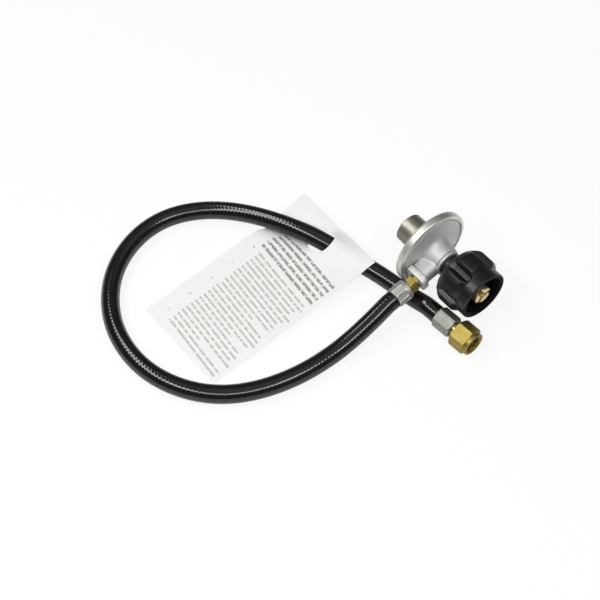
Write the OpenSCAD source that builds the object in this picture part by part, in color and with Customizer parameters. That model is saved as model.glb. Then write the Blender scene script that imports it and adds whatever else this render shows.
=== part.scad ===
// Low-pressure gas regulator with a hand-wheel inlet nut, a crimped hose and a swivel flare nut.
//
// The origin is on the regulator's axis, at the root of the inlet probe's castellated nose.
// +X points out of the inlet, +Z is up, and the part lies on the plane z = -rim_d / 2.
// Stations along the regulator's axis are worked out backwards from the origin:
// probe, bush, coupling nut, body, diaphragm and bonnet.

/* [Housing] */
// Outer diameter of the rolled rim
rim_d = 65; // [60:0.5:75]
// Width of the rolled rim along the axis
rim_w = 7; // [6:0.5:9]
// Sheet thickness of the bonnet's crimped rim
rim_t = 1.2; // [0.8:0.1:1.6]
// Width of the lip that is crimped over the body
lip_w = 3; // [2:0.2:5]
// Length of the body from the diaphragm to the neck's end
body_len = 20.6; // [19:0.2:26]
// Diameter of the neck's end ring
neck_d = 21.8; // [20:0.2:26]
// Outer diameter of the spring tower
tower_d = 24.2; // [22:0.2:30]
// Wall of the spring tower
tower_wall = 1.4; // [1:0.1:2]
// Length of the tower beyond the dome
tower_len = 18; // [14:0.5:30]
// Depth of the dome between the rim and the tower
dome_h = 4.3; // [3:0.1:8]
// Diameter of the vent hole in the dome
vent_d = 2.4; // [1.5:0.1:3]

/* [Outlet] */
// How far the outlet points below the horizontal, in degrees
roll = 12; // [0:1:20]
// Distance of the outlet's axis behind the neck's end
outlet_back = 6.6; // [6.4:0.1:8]
// Width of the outlet boss along the regulator's axis
boss_w = 15.6; // [14.6:0.2:18]
// Height of the outlet boss
boss_h = 14.4; // [13:0.2:16]
// How far the outlet flange stands out over the boss on each side
flange_step = 0.3; // [0.1:0.1:1]
// Width of the outlet flange along the regulator's axis
flange_w = 19; // [17:0.2:21]
// Thickness of the outlet flange
flange_t = 4.8; // [3:0.2:7]
// Distance of the flange's face from the regulator's axis
outlet_reach = 27; // [25:0.5:34]
// Diameter of the threaded outlet hole
outlet_bore_d = 10.4; // [9:0.1:11]

/* [Diaphragm and spring] */
// Thickness of the rubber diaphragm
diaphragm_t = 0.8; // [0.6:0.1:1]
// Working travel of the diaphragm
travel = 1.5; // [0.5:0.1:1.6]
// Diameter of the diaphragm plate
plate_d = 30; // [24:1:31]
// Mean diameter of the main spring
spring_d = 15.4; // [14:0.2:17]
// Wire diameter of the main spring
spring_wire = 1.4; // [1.2:0.1:1.6]
// Turns of the main spring
spring_turns = 4; // [3:0.5:5]

/* [Valve] */
// Long arm of the lever, from the pin to the stem
lever_long = 10; // [9:0.1:11]
// Short arm of the lever, from the pin to the plunger
lever_short = 3; // [2.5:0.1:3.4]
// Diameter of the lever pin
pin_d = 1.6; // [1.2:0.1:2]
// Diameter of the valve plunger
plunger_d = 4; // [3.6:0.1:4.4]
// Orifice of the nozzle
orifice_d = 1.4; // [0.8:0.1:2]

/* [Inlet probe] */
// Diameter of the probe's nose
nose_d = 15; // [13:0.1:15.6]
// Length of the straight nose behind the slots
nose_len = 14; // [13:0.5:18]
// Depth of the slots in the nose
slot_depth = 7.4; // [5:0.1:8]
// Width of the three slots in the nose
slot_w = 3; // [2:0.1:3.6]
// Diameter of the probe's stem inside the bush
stem_d = 11.2; // [10.4:0.1:12]
// Diameter of the probe's flange
probe_flange_d = 18; // [16:0.5:22]
// Diameter of the chamber for the flow limiter
limiter_bore_d = 6.4; // [5.6:0.1:7]
// Travel of the flow limiter
limiter_travel = 1.5; // [0.5:0.1:2]

/* [Coupling nut] */
// Diameter over the grip pads
nut_d = 48; // [46:0.5:54]
// Diameter of the plain band at the mouth
band_d = 41.6; // [40:0.2:44]
// Diameter at the floor of the recesses
recess_d = 38.6; // [37.8:0.2:40]
// Diameter of the threaded socket
socket_d = 33.3; // [32:0.1:34]
// Length of the plain band at the mouth
band_len = 9; // [5:0.5:11]
// Distance of the mouth beyond the origin
nut_reach = 8; // [6:0.5:12]
// Thickness of the nut's rear wall
nut_wall = 3; // [2:0.2:5]
// Number of grip pads
pads = 6; // [4:1:8]
// Turn of the first pad about the axis, in degrees
nut_turn = 6; // [0:1:60]
// Diameter of the bush in the nut's rear hole
bush_d = 16; // [15:0.2:18]
// Diameter of the bush's fingers
finger_d = 19.6; // [18.6:0.2:22]
// Number of fingers on the bush
fingers = 8; // [6:1:12]

/* [Hose and tube ends] */
// Outer diameter of the hose
hose_d = 14.5; // [13:0.5:16]
// Bore of the hose
hose_bore = 8; // [7:0.1:9]
// How far back the hose's loop reaches, to its middle line
loop_reach = 221.5; // [190:1:260]
// Outer diameter of the hose where it is crimped
crimp_d = 13.4; // [12.6:0.1:14]
// Length of the inlet-side ferrule
ferrule_len = 13.8; // [12:0.2:20]
// Outer diameter of the inlet-side ferrule
ferrule_d = 16.2; // [15.6:0.1:18]
// Width across the flats of the brass adapter
adapter_af = 12; // [11:0.5:14]
// Length of the adapter's hexagon
adapter_hex = 5; // [4:0.5:8]
// Bore of the barbed brass ends
barb_bore = 4.8; // [4:0.1:5.4]

/* [Flare end] */
// Turn of the flare end in plan, in degrees
flare_yaw = 4; // [2:0.5:6]
// Width across the flats of the flare nut
flare_af = 20; // [19:0.1:22]
// Length of the flare nut's hexagon
flare_hex = 13.8; // [12:0.2:18]
// Length of the round collar at the flare nut's mouth
flare_collar = 3.2; // [2:0.1:5]
// Diameter of the flare nut's threaded bore
flare_bore_d = 15.2; // [14.6:0.1:15.8]
// Length of the outlet-side ferrule
hex_ferrule_len = 16.5; // [14:0.5:20]
// Width across the flats of the outlet-side ferrule
hex_ferrule_af = 15.8; // [15.4:0.1:18]
// Turn of the two hexagons about the flare axis, in degrees
hex_turn = 28; // [0:1:60]

/* [Tag] */
// Width of the tag
tag_w = 86; // [70:1:100]
// Length of the tag, seen from above
tag_l = 159; // [150:1:170]
// Distance of the hole's middle from the tag's near edge
tag_margin = 18.7; // [16:0.1:24]
// Diameter of the tag's hole
tag_hole_d = 21; // [20:0.5:24]
// Thickness of the tag
tag_t = 0.3; // [0.2:0.05:0.5]

/* [Fits] */
// Radial clearance of a running fit
run_gap = 0.05; // [0.03:0.01:0.08]
// Clearance between neighbouring pieces
gap = 0.1; // [0.05:0.01:0.2]
// Valve gap that is left when the valve is shut
seat_gap = 0.03; // [0.01:0.01:0.05]

/* [Hidden] */

$fn = 96;
FLOOR = -rim_d / 2;

// Stations along the regulator's axis, from the mouth backwards
x_mouth = nut_reach;
x_band = x_mouth - band_len;
x_nose_tip = slot_depth;
x_nose_back = -nose_len;
probe_cone = 3.5;
probe_flange_t = 3;
x_flange_front = x_nose_back - probe_cone;
x_flange_back = x_flange_front - probe_flange_t;
bush_flange_t = 1.4;
x_bush_flange = x_flange_back - bush_flange_t;
x_nut_inner = x_bush_flange - gap;
x_nut_rear = x_nut_inner - nut_wall;
x_collar_front = x_nut_rear - 2 * gap;
collar_len = 6.2;
x_neck_end = x_collar_front - collar_len;
x_clamp = x_neck_end - body_len;
x_land = x_clamp - diaphragm_t;
outlet_x = x_neck_end - outlet_back;
rim_lap = 3;
x_rim_front = x_clamp + rim_lap;
x_rim_back = x_rim_front - rim_w;
x_dome_top = x_rim_back - dome_h;
x_tower_end = x_dome_top - tower_len;

// Radii of the housing
rim_r = rim_d / 2;
lip_r = rim_r - lip_w;
clamp_r = rim_r - rim_t - gap;
clamp_t = 1.6;
face_r = lip_r - 0.6;
chamber_r = face_r - 4.4;
neck_r = neck_d / 2;
tower_r = tower_d / 2;
tower_bore = tower_r - tower_wall;
flare_out_r = 8;
x_neck_top = x_neck_end - 2.2;
chamber_floor = x_clamp + 4.1;
pocket_r = 8;
x_pocket = x_clamp + 11.4;

// Diaphragm, plate, stem and springs
washer_t = 1;
x_disc = x_clamp - washer_t;
x_plate = x_disc - diaphragm_t;
plate_t = 1;
x_plate_back = x_plate - plate_t;
shank_r = 3;
washer_r = 8;
roll_in_r = washer_r * 2;
roll_out_r = chamber_r - 0.5;
roll_h = 1.8;
relief_len = 7.2;
x_stem_nut = x_plate_back - relief_len;
stem_nut_t = 2.5;
x_shank_end = x_stem_nut - stem_nut_t - 1.5;
cap_t = 2.2;
x_cap = x_tower_end + 0.6;
screw_t = 4;
spigot_len = 2;
spring_len = 15.4;
x_screw = x_plate_back - spring_len;

// Lever mechanism, in the rolled frame: pin, plunger axis, lever tip and nozzle
x_pin = x_clamp + 2.8;
y_pin = -lever_long;
finger_r = 0.7;
x_finger = x_pin + lever_short;
x_plunger = x_finger + 0.3;
tip_r = 0.6;
x_tip = x_clamp + 1.4;
y_tip = 0.3;
ear_in = 2.4;
ear_out = 4.2;
hub_r = 1.5;
hub_w = 2 * ear_in - 1;
plunger_r = plunger_d / 2;
pad_t = 0.7;
y_pad = -0.9;
y_plunger_end = y_pad - pad_t;
y_plunger_start = y_pin - 2.2;
valve_lift = travel * lever_short / lever_long;
y_nozzle_tip = y_pad + valve_lift + seat_gap;
y_nozzle_back = 3.4;
nozzle_r = 2.4;
y_passage = 4.4;
x_plunger_top = x_plunger - 1.7;

// Outlet stations, along the outlet's axis from the regulator's axis
outlet_bore_r = outlet_bore_d / 2;
boss_end = outlet_reach - flange_t;
outlet_bore_start = 13;
boss_x = x_neck_end - 0.3 - boss_w / 2 - outlet_x;
flange_x = boss_x / 2;
flange_h = boss_h + 2 * flange_step;
z_hex = outlet_reach + 2.4;
z_collar = z_hex + adapter_hex;
z_ferrule = z_collar + 1.1;
z_ferrule_end = z_ferrule + ferrule_len;
ferrule_wall = 1.4;
barb_r = hose_bore / 2 - gap;
barb_root = barb_r - 0.5;
crimp_gap = 0.2;
ferrule_bore_r = crimp_d / 2 + crimp_gap;

// Probe and flow limiter
nose_r = nose_d / 2;
nose_turn = 27;
stem_r = stem_d / 2;
limiter_r = limiter_bore_d / 2;
spring_bore_r = 1.7;
x_head_front = -4.5;
head_len = 4;
x_head_back = x_head_front - head_len;
head_r = limiter_r - 0.3;
tail_r = 0.7;
cone_slope = 0.68;
x_seat = x_head_back - limiter_travel + (limiter_r - head_r) * 2 / 3;
x_seat_end = x_seat - (limiter_r - spring_bore_r) / cone_slope;
cone_end_r = 1.2;
x_cone_end = x_head_back - (head_r - cone_end_r) / cone_slope;
x_spring_seat = x_flange_front - 1.5;

// Coupling nut
socket_r = socket_d / 2;
band_r = band_d / 2;
recess_r = recess_d / 2;
pad_r = nut_d / 2;
bush_r = bush_d / 2;

// Flare end stations, along the flare axis from the nut's mouth
flare_pos = [26.5, -24.4, FLOOR + flare_af / sqrt(3) + 0.05];
flare_wall = 3;
flare_neck_r = 5.5;
flare_head_r = 7;
z_hex_start = -flare_collar - flare_hex;
z_flare_ferrule = z_hex_start - 3.4;
z_flare_tail = z_flare_ferrule - hex_ferrule_len;

// Route of the hose's middle line between its two straight ends, as laid out for a reach of 221.5
ROUTE_REACH = 221.5;
ROUTE_START = 37.5;
loop_stretch = (loop_reach - ROUTE_START) / (ROUTE_REACH - ROUTE_START);
function stretched(x) = x + (loop_stretch - 1) * min(x + ROUTE_START, 0);
HOSE_ROUTE = [for (p = [
    [-36.5, -70, -15.6], [-36, -82, -19.3], [-36, -94, -22.5], [-36, -107, -24.7],
    [-36, -122, -25.2], [-37.5, -140, -25.2], [-41, -157, -25.2], [-46, -172, -25.2],
    [-52, -185, -25.2], [-60.5, -197.5, -25.2], [-71, -208, -25.2], [-84, -217, -25.2],
    [-99, -224, -25.2], [-117, -228.5, -25.2], [-138, -228.5, -25.2], [-160, -224, -25.2],
    [-180, -214, -25.2], [-194.5, -203, -25.2], [-205, -191, -25.2], [-213, -178, -25.2],
    [-218.5, -164, -25.2], [-221.5, -150, -25.2], [-221.5, -136, -25.2], [-219, -123.5, -25.2],
    [-214, -112, -25.1], [-207, -101.5, -24.5], [-198.5, -92.5, -23.5], [-189, -85, -22.1],
    [-178, -78, -20.5], [-166.5, -72, -18.7], [-154.5, -67, -17], [-142, -62, -15.8],
    [-130, -57, -15.4], [-119.5, -52.8, -16.6], [-109, -48.5, -19], [-98, -44, -21.6],
    [-85, -38.8, -23.8], [-70, -34.3, -25], [-54, -31.4, -25.2], [-42, -30, -24.8],
    [-32, -28.8, -23.3]
]) [stretched(p[0]), p[1], p[2]]];
HOSE_SIDES = 12;
hose_lead = 6;

// Place and slope of the tag: the hose comes over it, goes down through its hole and on below it
TAG_HOLE = [stretched(-119.3), -53];
tag_turn = 0.3;
tag_lift = 16.3;
tag_twist = 2;
tag_foot = 0.25;
hose_crossing = atan(tan(21) / loop_stretch);
dip_h = 6;
dip_gain = 0.06;
hump_h = 8.1;
hump_fade = 24;
crease_w = 10.8;

// ---------- Helpers ----------

// A solid of revolution about X, from [radius, x] points
module turned(points) {
    rotate([0, 90, 0]) rotate_extrude() polygon(points);
}

// The regulator's inner frame, turned so that -Y is the outlet's direction
module rolled() {
    rotate([roll, 0, 0]) children();
}

// The outlet's frame: +Z runs out of the outlet, +Y is the side that faces up
module at_outlet() {
    translate([outlet_x, 0, 0]) rotate([90 + roll, 0, 0]) children();
}

// The flare end's frame: +Z runs out of the flare nut, z = 0 is its mouth
module at_flare() {
    translate(flare_pos) rotate([0, 0, flare_yaw]) rotate([0, 90, 0]) children();
}

// A cylinder along Y, from y0 to y1
module along_y(r, y0, y1) {
    translate([0, y0, 0]) rotate([-90, 0, 0]) cylinder(r = r, h = y1 - y0);
}

// A cylinder along X, from x0 to x1
module along_x(r, x0, x1) {
    translate([x0, 0, 0]) rotate([0, 90, 0]) cylinder(r = r, h = x1 - x0);
}

// A box from its lower corner to its upper corner
module box(low, high) {
    translate(low) cube(high - low);
}

// A rectangle with round corners
module round_rect(w, h, r) {
    square([w, h - 2 * r], center = true);
    square([w - 2 * r, h], center = true);
    for (sx = [-1, 1], sy = [-1, 1])
        translate([sx * (w / 2 - r), sy * (h / 2 - r)]) circle(r = r, $fn = 48);
}

// A hexagonal bar with turned-down corners; turn is the way that one flat faces
module chamfered_hex(af, h, turn = 0, cut = 0.8) {
    corner = af / sqrt(3);
    rotate(turn) intersection() {
        rotate(30) cylinder(r = corner, h = h, $fn = 6);
        rotate_extrude() polygon([
            [0, 0], [corner - cut, 0], [corner + 0.5, (cut + 0.5) * 0.6],
            [corner + 0.5, h - (cut + 0.5) * 0.6], [corner - cut, h], [0, h]
        ]);
    }
}

// Points of an arc about [cx, cy], from angle a0 to a1
function arc(cx, cy, r, a0, a1, steps = 6) =
    [for (i = [0:steps]) let (a = a0 + (a1 - a0) * i / steps) [cx + r * cos(a), cy + r * sin(a)]];

function polar(r, a) = [r * cos(a), r * sin(a)];

function unit(v) = v / norm(v);

// A smooth step from 0 to 1
function ease(t) = let (c = min(max(t, 0), 1)) c * c * (3 - 2 * c);

// Rings about the points of a path; each ring stands square to the path and level
function ring_points(path, radii, sides) = [
    for (i = [0:len(path) - 1])
        let (
            t = unit(path[min(i + 1, len(path) - 1)] - path[max(i - 1, 0)]),
            side = unit(cross(t, [0, 0, 1])),
            up = cross(side, t)
        )
        for (k = [0:sides - 1])
            path[i] + radii[i] * (cos(360 * k / sides) * side + sin(360 * k / sides) * up)
];

// Triangles between neighbouring rings of points; inside turns them over for a bore
function ring_faces(rings, sides, first, inside) = [
    for (i = [0:rings - 2], k = [0:sides - 1])
        let (
            a = first + i * sides + k,
            b = first + i * sides + (k + 1) % sides,
            c = b + sides,
            d = a + sides
        )
        each inside ? [[a, b, c], [a, c, d]] : [[a, c, b], [a, d, c]]
];

// Triangles that join ring a to ring b, where both have the same number of points
function joint_faces(a, b, sides) = [
    for (k = [0:sides - 1])
        let (n = (k + 1) % sides)
        each [[a + k, a + n, b + n], [a + k, b + n, b + k]]
];

// A pipe swept along a path, with a list of outer radii and a list of bore radii
module swept_pipe(path, outer, inner, sides) {
    rings = len(path);
    bore = rings * sides;
    last = (rings - 1) * sides;
    polyhedron(
        concat(ring_points(path, outer, sides), ring_points(path, inner, sides)),
        concat(
            ring_faces(rings, sides, 0, false),
            ring_faces(rings, sides, bore, true),
            joint_faces(0, bore, sides),
            joint_faces(bore + last, last, sides)
        )
    );
}

// Turns of a closed-end spring: a close turn, the open turns, a close turn
function spring_rise(t, turns, close, open) =
    close * min(t, 1) + open * min(max(t - 1, 0), turns) + close * max(t - 1 - turns, 0);

// A coil spring along X from x0 up to x1, with a flat-lying close turn at each end
module coil_spring(mean_r, wire, turns, x0, x1, sides = 6, per_turn = 12) {
    close = wire * 1.15;
    open = (x1 - x0 - wire - 2 * close) / turns;
    steps = ceil((turns + 2) * per_turn);
    points = [
        for (i = [0:steps])
            let (
                t = min(i / per_turn, turns + 2),
                out = [0, cos(360 * t), sin(360 * t)],
                middle = mean_r * out + [x0 + wire / 2 + spring_rise(t, turns, close, open), 0, 0]
            )
            for (k = [0:sides - 1])
                middle + wire / 2 * (cos(360 * k / sides) * out + [sin(360 * k / sides), 0, 0])
    ];
    polyhedron(points, concat(
        ring_faces(steps + 1, sides, 0, false),
        [[for (k = [0:sides - 1]) k]],
        [[for (k = [sides - 1:-1:0]) steps * sides + k]]
    ));
}

// ---------- Housing ----------

// Slots and hollows that the lever, the plunger and the gas need inside the body
module body_hollows() {
    turned([
        [0, x_clamp - 1], [chamber_r, x_clamp - 1], [chamber_r, x_clamp + 1.4],
        [chamber_r * 0.7, chamber_floor], [0, chamber_floor]
    ]);
    difference() {
        along_x(pocket_r, chamber_floor - 1, x_pocket);
        rolled() box([chamber_floor - 2, 0.9, -3.4], [x_pocket + 1, pocket_r + 1, 3.4]);
    }
    rolled() {
        translate([x_plunger, 0, 0]) {
            along_y(plunger_r + gap, y_plunger_start - 0.4, 0);
            along_y(nozzle_r + run_gap, 0, y_nozzle_back + gap);
            along_y(1.5, 0, y_nozzle_back + 2.2);
        }
        box([chamber_floor - 1, y_plunger_start - 0.4, -ear_in + 0.1], [x_plunger, y_pin + 3, ear_in - 0.1]);
        translate([0, y_passage, 0]) along_x(1.1, x_plunger, x_neck_end - 5);
        translate([x_pocket - 0.4, 0, 0]) along_y(1.7, -outlet_bore_start - 1, -pocket_r + 2);
    }
    along_x(stem_r - 0.1, x_neck_end - 5.4, x_neck_end + 1);
    at_outlet() translate([0, 0, outlet_bore_start])
        cylinder(r = outlet_bore_r, h = outlet_reach);
}

// The two ears that carry the lever's pin
module lever_ears() {
    rolled() for (s = [-1, 1])
        difference() {
            translate([0, 0, s * (ear_in + ear_out) / 2])
                linear_extrude(ear_out - ear_in, center = true) {
                    translate([x_pin, y_pin]) circle(r = 1.6, $fn = 48);
                    translate([x_pin, y_pin - 1.6]) square([chamber_floor - x_pin + 0.5, 3.2]);
                }
            translate([x_pin, y_pin, -10]) cylinder(r = pin_d / 2 + run_gap, h = 20);
        }
}

// The block in the chamber's pocket that the nozzle is pressed into
module nozzle_post() {
    rolled() difference() {
        box([chamber_floor - 0.3, 0.9, -3.4], [x_pocket + 0.5, pocket_r + 0.6, 3.4]);
        translate([x_plunger, 0, 0]) {
            along_y(nozzle_r + run_gap, 0, y_nozzle_back + gap);
            along_y(1.5, 0, y_nozzle_back + 2.2);
        }
        translate([0, y_passage, 0]) along_x(1.1, x_plunger, x_pocket + 1);
    }
}

module regulator_body() {
    color("#b9b7b0") {
        difference() {
            union() {
                turned(concat(
                    [[0, x_clamp], [clamp_r, x_clamp], [clamp_r, x_clamp + clamp_t]],
                    [[face_r, x_clamp + clamp_t], [face_r, x_clamp + 2.4]],
                    arc(face_r - 0.9, x_clamp + 2.4, 0.9, 0, 110),
                    [[face_r - 1.7, x_clamp + 3.1], [neck_r + 11.4, x_clamp + 4.4]],
                    arc(neck_r + 1.4 + flare_out_r, x_clamp + 5.8 + flare_out_r * 0.966,
                        flare_out_r, 255, 180, 10),
                    [[neck_r + 0.5, x_neck_top - 0.2], [neck_r - 0.9, x_neck_top]],
                    [[neck_r - 0.9, x_neck_end - 1.2], [neck_r, x_neck_end - 1.2]],
                    [[neck_r, x_neck_end - 0.4], [neck_r - 0.4, x_neck_end], [0, x_neck_end]]
                ));
                at_outlet() {
                    translate([boss_x, 0]) linear_extrude(boss_end - 0.5) round_rect(boss_w, boss_h, 4.5);
                    translate([boss_x, 0]) linear_extrude(boss_end) round_rect(boss_w - 1, boss_h - 1, 4);
                    translate([flange_x, 0, boss_end]) linear_extrude(flange_t)
                        round_rect(flange_w, flange_h, 3.4);
                }
            }
            body_hollows();
        }
        lever_ears();
        nozzle_post();
    }
}

module bonnet() {
    edge = min(1.2, tower_wall - 0.2);
    inside = [
        [lip_r, x_rim_front], [lip_r, x_clamp + clamp_t], [rim_r - rim_t, x_clamp + clamp_t],
        [rim_r - rim_t, x_land], [chamber_r + 0.5, x_land], [chamber_r - 0.5, x_land - 1.7],
        [chamber_r - 1, x_rim_back], [tower_bore + 3.7, x_dome_top + 2],
        [tower_bore, x_dome_top - 0.2], [tower_bore, x_tower_end]
    ];
    color("#c3c1ba") difference() {
        turned(concat(
            inside,
            arc(tower_r - edge, x_tower_end + edge, edge, 270, 360),
            [[tower_r + 0.3, x_dome_top - 1.1]],
            arc(tower_r + 2.1, x_dome_top - 1.1, 1.8, 180, 80),
            [[tower_r + 8, x_dome_top + 1.6], [rim_r - 7, x_rim_back - 1.3]],
            [[rim_r - 3.5, x_rim_back - 0.3]],
            arc(rim_r - 2.2, x_rim_back + 2.2, 2.2, 290, 360),
            arc(rim_r - 1.6, x_rim_front - 1.6, 1.6, 0, 90)
        ));
        vent_place() cylinder(d = vent_d, h = 8, center = true);
    }
}

// The vent hole's axis, square to the dome near the tower's root
module vent_place() {
    vent_r = tower_r + 4.2;
    rotate([-17, 0, 0]) translate([x_dome_top + 1.6, 0, vent_r]) rotate([0, -90 - 9, 0]) children();
}

module vent_screen() {
    color("#4c4a46") vent_place() translate([0, 0, -0.6]) difference() {
        cylinder(d = vent_d, h = 0.5, $fn = 48);
        for (i = [0:4]) rotate(72 * i) translate([vent_d * 0.26, 0, -1])
            cylinder(d = vent_d * 0.18, h = 3, $fn = 24);
        translate([0, 0, -1]) cylinder(d = vent_d * 0.18, h = 3, $fn = 24);
    }
}

module tower_cap() {
    color("#8f8c84") difference() {
        along_x(tower_bore - gap, x_cap, x_cap + cap_t);
        translate([x_cap, 0, 0]) cube([2, tower_bore * 1.3, 2], center = true);
    }
}

module adjusting_screw() {
    color("#c9b87c") difference() {
        union() {
            along_x(tower_bore - run_gap, x_screw - screw_t, x_screw);
            along_x(5.5, x_screw - 1, x_screw + spigot_len);
        }
        translate([x_screw - screw_t - 1, 0, 0]) rotate([0, 90, 0])
            cylinder(d = 8 / cos(30), h = screw_t, $fn = 6);
    }
}

module main_spring() {
    color("#9a9a9c") coil_spring(spring_d / 2, spring_wire, spring_turns, x_screw, x_plate_back);
}

// ---------- Diaphragm group ----------

function roll_x(t) = x_disc + (x_clamp - x_disc) * t - roll_h * sin(180 * t);

module diaphragm() {
    steps = 12;
    front = [for (i = [0:steps])
        [roll_in_r + (roll_out_r - roll_in_r) * i / steps, roll_x(i / steps)]];
    back = [for (i = [steps:-1:0])
        [roll_in_r + (roll_out_r - roll_in_r) * i / steps, roll_x(i / steps) - diaphragm_t]];
    color("#2c2b2a") turned(concat(
        [[shank_r + gap, x_disc]], front,
        [[clamp_r - gap, x_clamp], [clamp_r - gap, x_land]], back,
        [[shank_r + gap, x_plate]]
    ));
}

module diaphragm_plate() {
    r = plate_d / 2;
    color("#a7a59c") turned([
        [shank_r, x_plate], [r - 0.5, x_plate], [r, x_plate - 0.5], [r, x_plate_back - 1],
        [r - 0.9, x_plate_back - 1], [r - 0.9, x_plate_back], [shank_r, x_plate_back]
    ]);
}

module diaphragm_stem() {
    color("#b08d3f") {
        along_x(washer_r, x_disc, x_clamp);
        along_x(shank_r, x_shank_end, x_disc);
        rolled() difference() {
            box([x_clamp - 0.2, -1.6, -2.9], [x_tip + 2.1, 2.2, 2.9]);
            box([x_clamp + 0.1, -2, -hub_w / 2], [x_tip + 1.3, y_tip + tip_r + 0.3, hub_w / 2]);
        }
    }
}

module relief_spring() {
    color("#a5a5a7") coil_spring(shank_r + 1.2, 0.9, 3, x_stem_nut, x_plate_back);
}

module stem_nut() {
    color("#b5974c") difference() {
        translate([x_stem_nut - stem_nut_t, 0, 0]) rotate([0, 90, 0]) chamfered_hex(9, stem_nut_t);
        along_x(shank_r, x_stem_nut - 5, x_stem_nut + 1);
    }
}

// ---------- Lever and valve ----------

module lever() {
    slope = atan2(x_tip - x_pin, y_tip - y_pin);
    arm = norm([x_tip - x_pin, y_tip - y_pin]);
    color("#bdbcb8") rolled() difference() {
        union() {
            translate([x_pin, y_pin, -hub_w / 2]) cylinder(r = hub_r, h = hub_w);
            translate([x_tip, y_tip, -1.5]) cylinder(r = tip_r, h = 3, $fn = 48);
            translate([x_pin, y_pin, -1.5]) rotate(-slope) translate([-tip_r, 0, 0])
                cube([2 * tip_r, arm, 3]);
            translate([x_finger, y_pin, -1.5]) cylinder(r = finger_r, h = 3, $fn = 48);
            box([x_pin, y_pin - finger_r, -1.5], [x_finger, y_pin + finger_r, 1.5]);
        }
        translate([x_pin, y_pin, -5]) cylinder(r = pin_d / 2 + run_gap, h = 10);
    }
}

module lever_pin() {
    color("#d0cfca") rolled() translate([x_pin, y_pin, -ear_out])
        cylinder(r = pin_d / 2, h = 2 * ear_out);
}

module valve_plunger() {
    color("#d8d2c4") rolled() difference() {
        translate([x_plunger, 0, 0]) along_y(plunger_r, y_plunger_start, y_plunger_end);
        box([x_plunger - 4, y_plunger_start - 1, -4], [x_plunger_top, y_plunger_end + 1, 4]);
        box([x_plunger - 4, y_pin - finger_r - 0.45, -4], [x_plunger + 1, y_pin + finger_r + 0.45, 4]);
    }
}

module valve_pad() {
    color("#2a2827") rolled() translate([x_plunger, 0, 0]) along_y(plunger_r - 0.3, y_plunger_end, y_pad);
}

module nozzle() {
    color("#c8a24a") rolled() translate([x_plunger, 0, 0]) rotate([-90, 0, 0]) rotate_extrude()
        polygon([
            [orifice_d / 2, y_nozzle_tip], [orifice_d / 2 + 0.4, y_nozzle_tip],
            [orifice_d / 2 + 0.9, 0.6], [nozzle_r, 0.9], [nozzle_r, y_nozzle_back],
            [1.5, y_nozzle_back], [1.5, 1.8], [orifice_d / 2, 1.4]
        ]);
}

// ---------- Inlet ----------

module inlet_probe() {
    color("#cfa350") difference() {
        turned([
            [1, x_neck_end - 4.6], [stem_r - 0.2, x_neck_end - 4.6], [stem_r - 0.2, x_neck_end],
            [stem_r, x_neck_end], [stem_r, x_flange_back], [probe_flange_d / 2, x_flange_back],
            [probe_flange_d / 2, x_flange_front - 0.3], [probe_flange_d / 2 - 0.3, x_flange_front],
            [nose_r, x_nose_back], [nose_r, x_nose_tip - 0.9], [nose_r - 0.9, x_nose_tip],
            [limiter_r, x_nose_tip], [limiter_r, x_seat], [spring_bore_r, x_seat_end],
            [spring_bore_r, x_spring_seat], [1, x_spring_seat]
        ]);
        for (a = [0, 120, 240]) rotate([a + nose_turn, 0, 0])
            box([0, -slot_w / 2, 0], [x_nose_tip + 1, slot_w / 2, nose_r + 1]);
    }
}

module limiter_poppet() {
    color("#c79a45") turned([
        [0, x_cone_end - 5], [tail_r, x_cone_end - 5], [tail_r, x_cone_end],
        [cone_end_r, x_cone_end], [head_r, x_head_back], [head_r, x_head_front],
        [1, x_head_front], [1, x_nose_tip - 1.5], [0.7, x_nose_tip - 1.2], [0, x_nose_tip - 1.2]
    ]);
}

module limiter_spring() {
    color("#a9a9ab")
        coil_spring(tail_r + 0.5, 0.5, 6, x_spring_seat, x_cone_end - gap, per_turn = 10);
}

module thermal_bush() {
    step = 360 / fingers;
    finger_r = finger_d / 2;
    slot_half = PI * finger_d / fingers * 0.214;
    color("#1d1d1f") difference() {
        turned([
            [stem_r + run_gap, x_neck_end], [finger_r - 0.8, x_neck_end],
            [finger_r, x_neck_end + 1.4], [finger_r, x_collar_front],
            [bush_r - run_gap, x_collar_front], [bush_r - run_gap, x_bush_flange],
            [bush_r + 3.5, x_bush_flange], [bush_r + 3.5, x_flange_back],
            [stem_r + run_gap, x_flange_back]
        ]);
        for (i = [0:fingers - 1]) rotate([6 + step * (i + 0.5), 0, 0])
            box([x_neck_end - 1, -slot_half, bush_r], [x_collar_front + 1, slot_half, finger_d]);
    }
}

// ---------- Coupling nut ----------

// One grip pad in the plane across the axis, with sloped flanks down to the recess floor
module pad_sector() {
    foot = polar(recess_r, 25);
    top = polar(pad_r, 18);
    reach = top + (top - foot) * 0.5;
    polygon([
        [recess_r - 3, 0], [foot[0] - 3, -foot[1]], [foot[0], -foot[1]], [reach[0], -reach[1]],
        reach, foot, [foot[0] - 3, foot[1]]
    ]);
}

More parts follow.
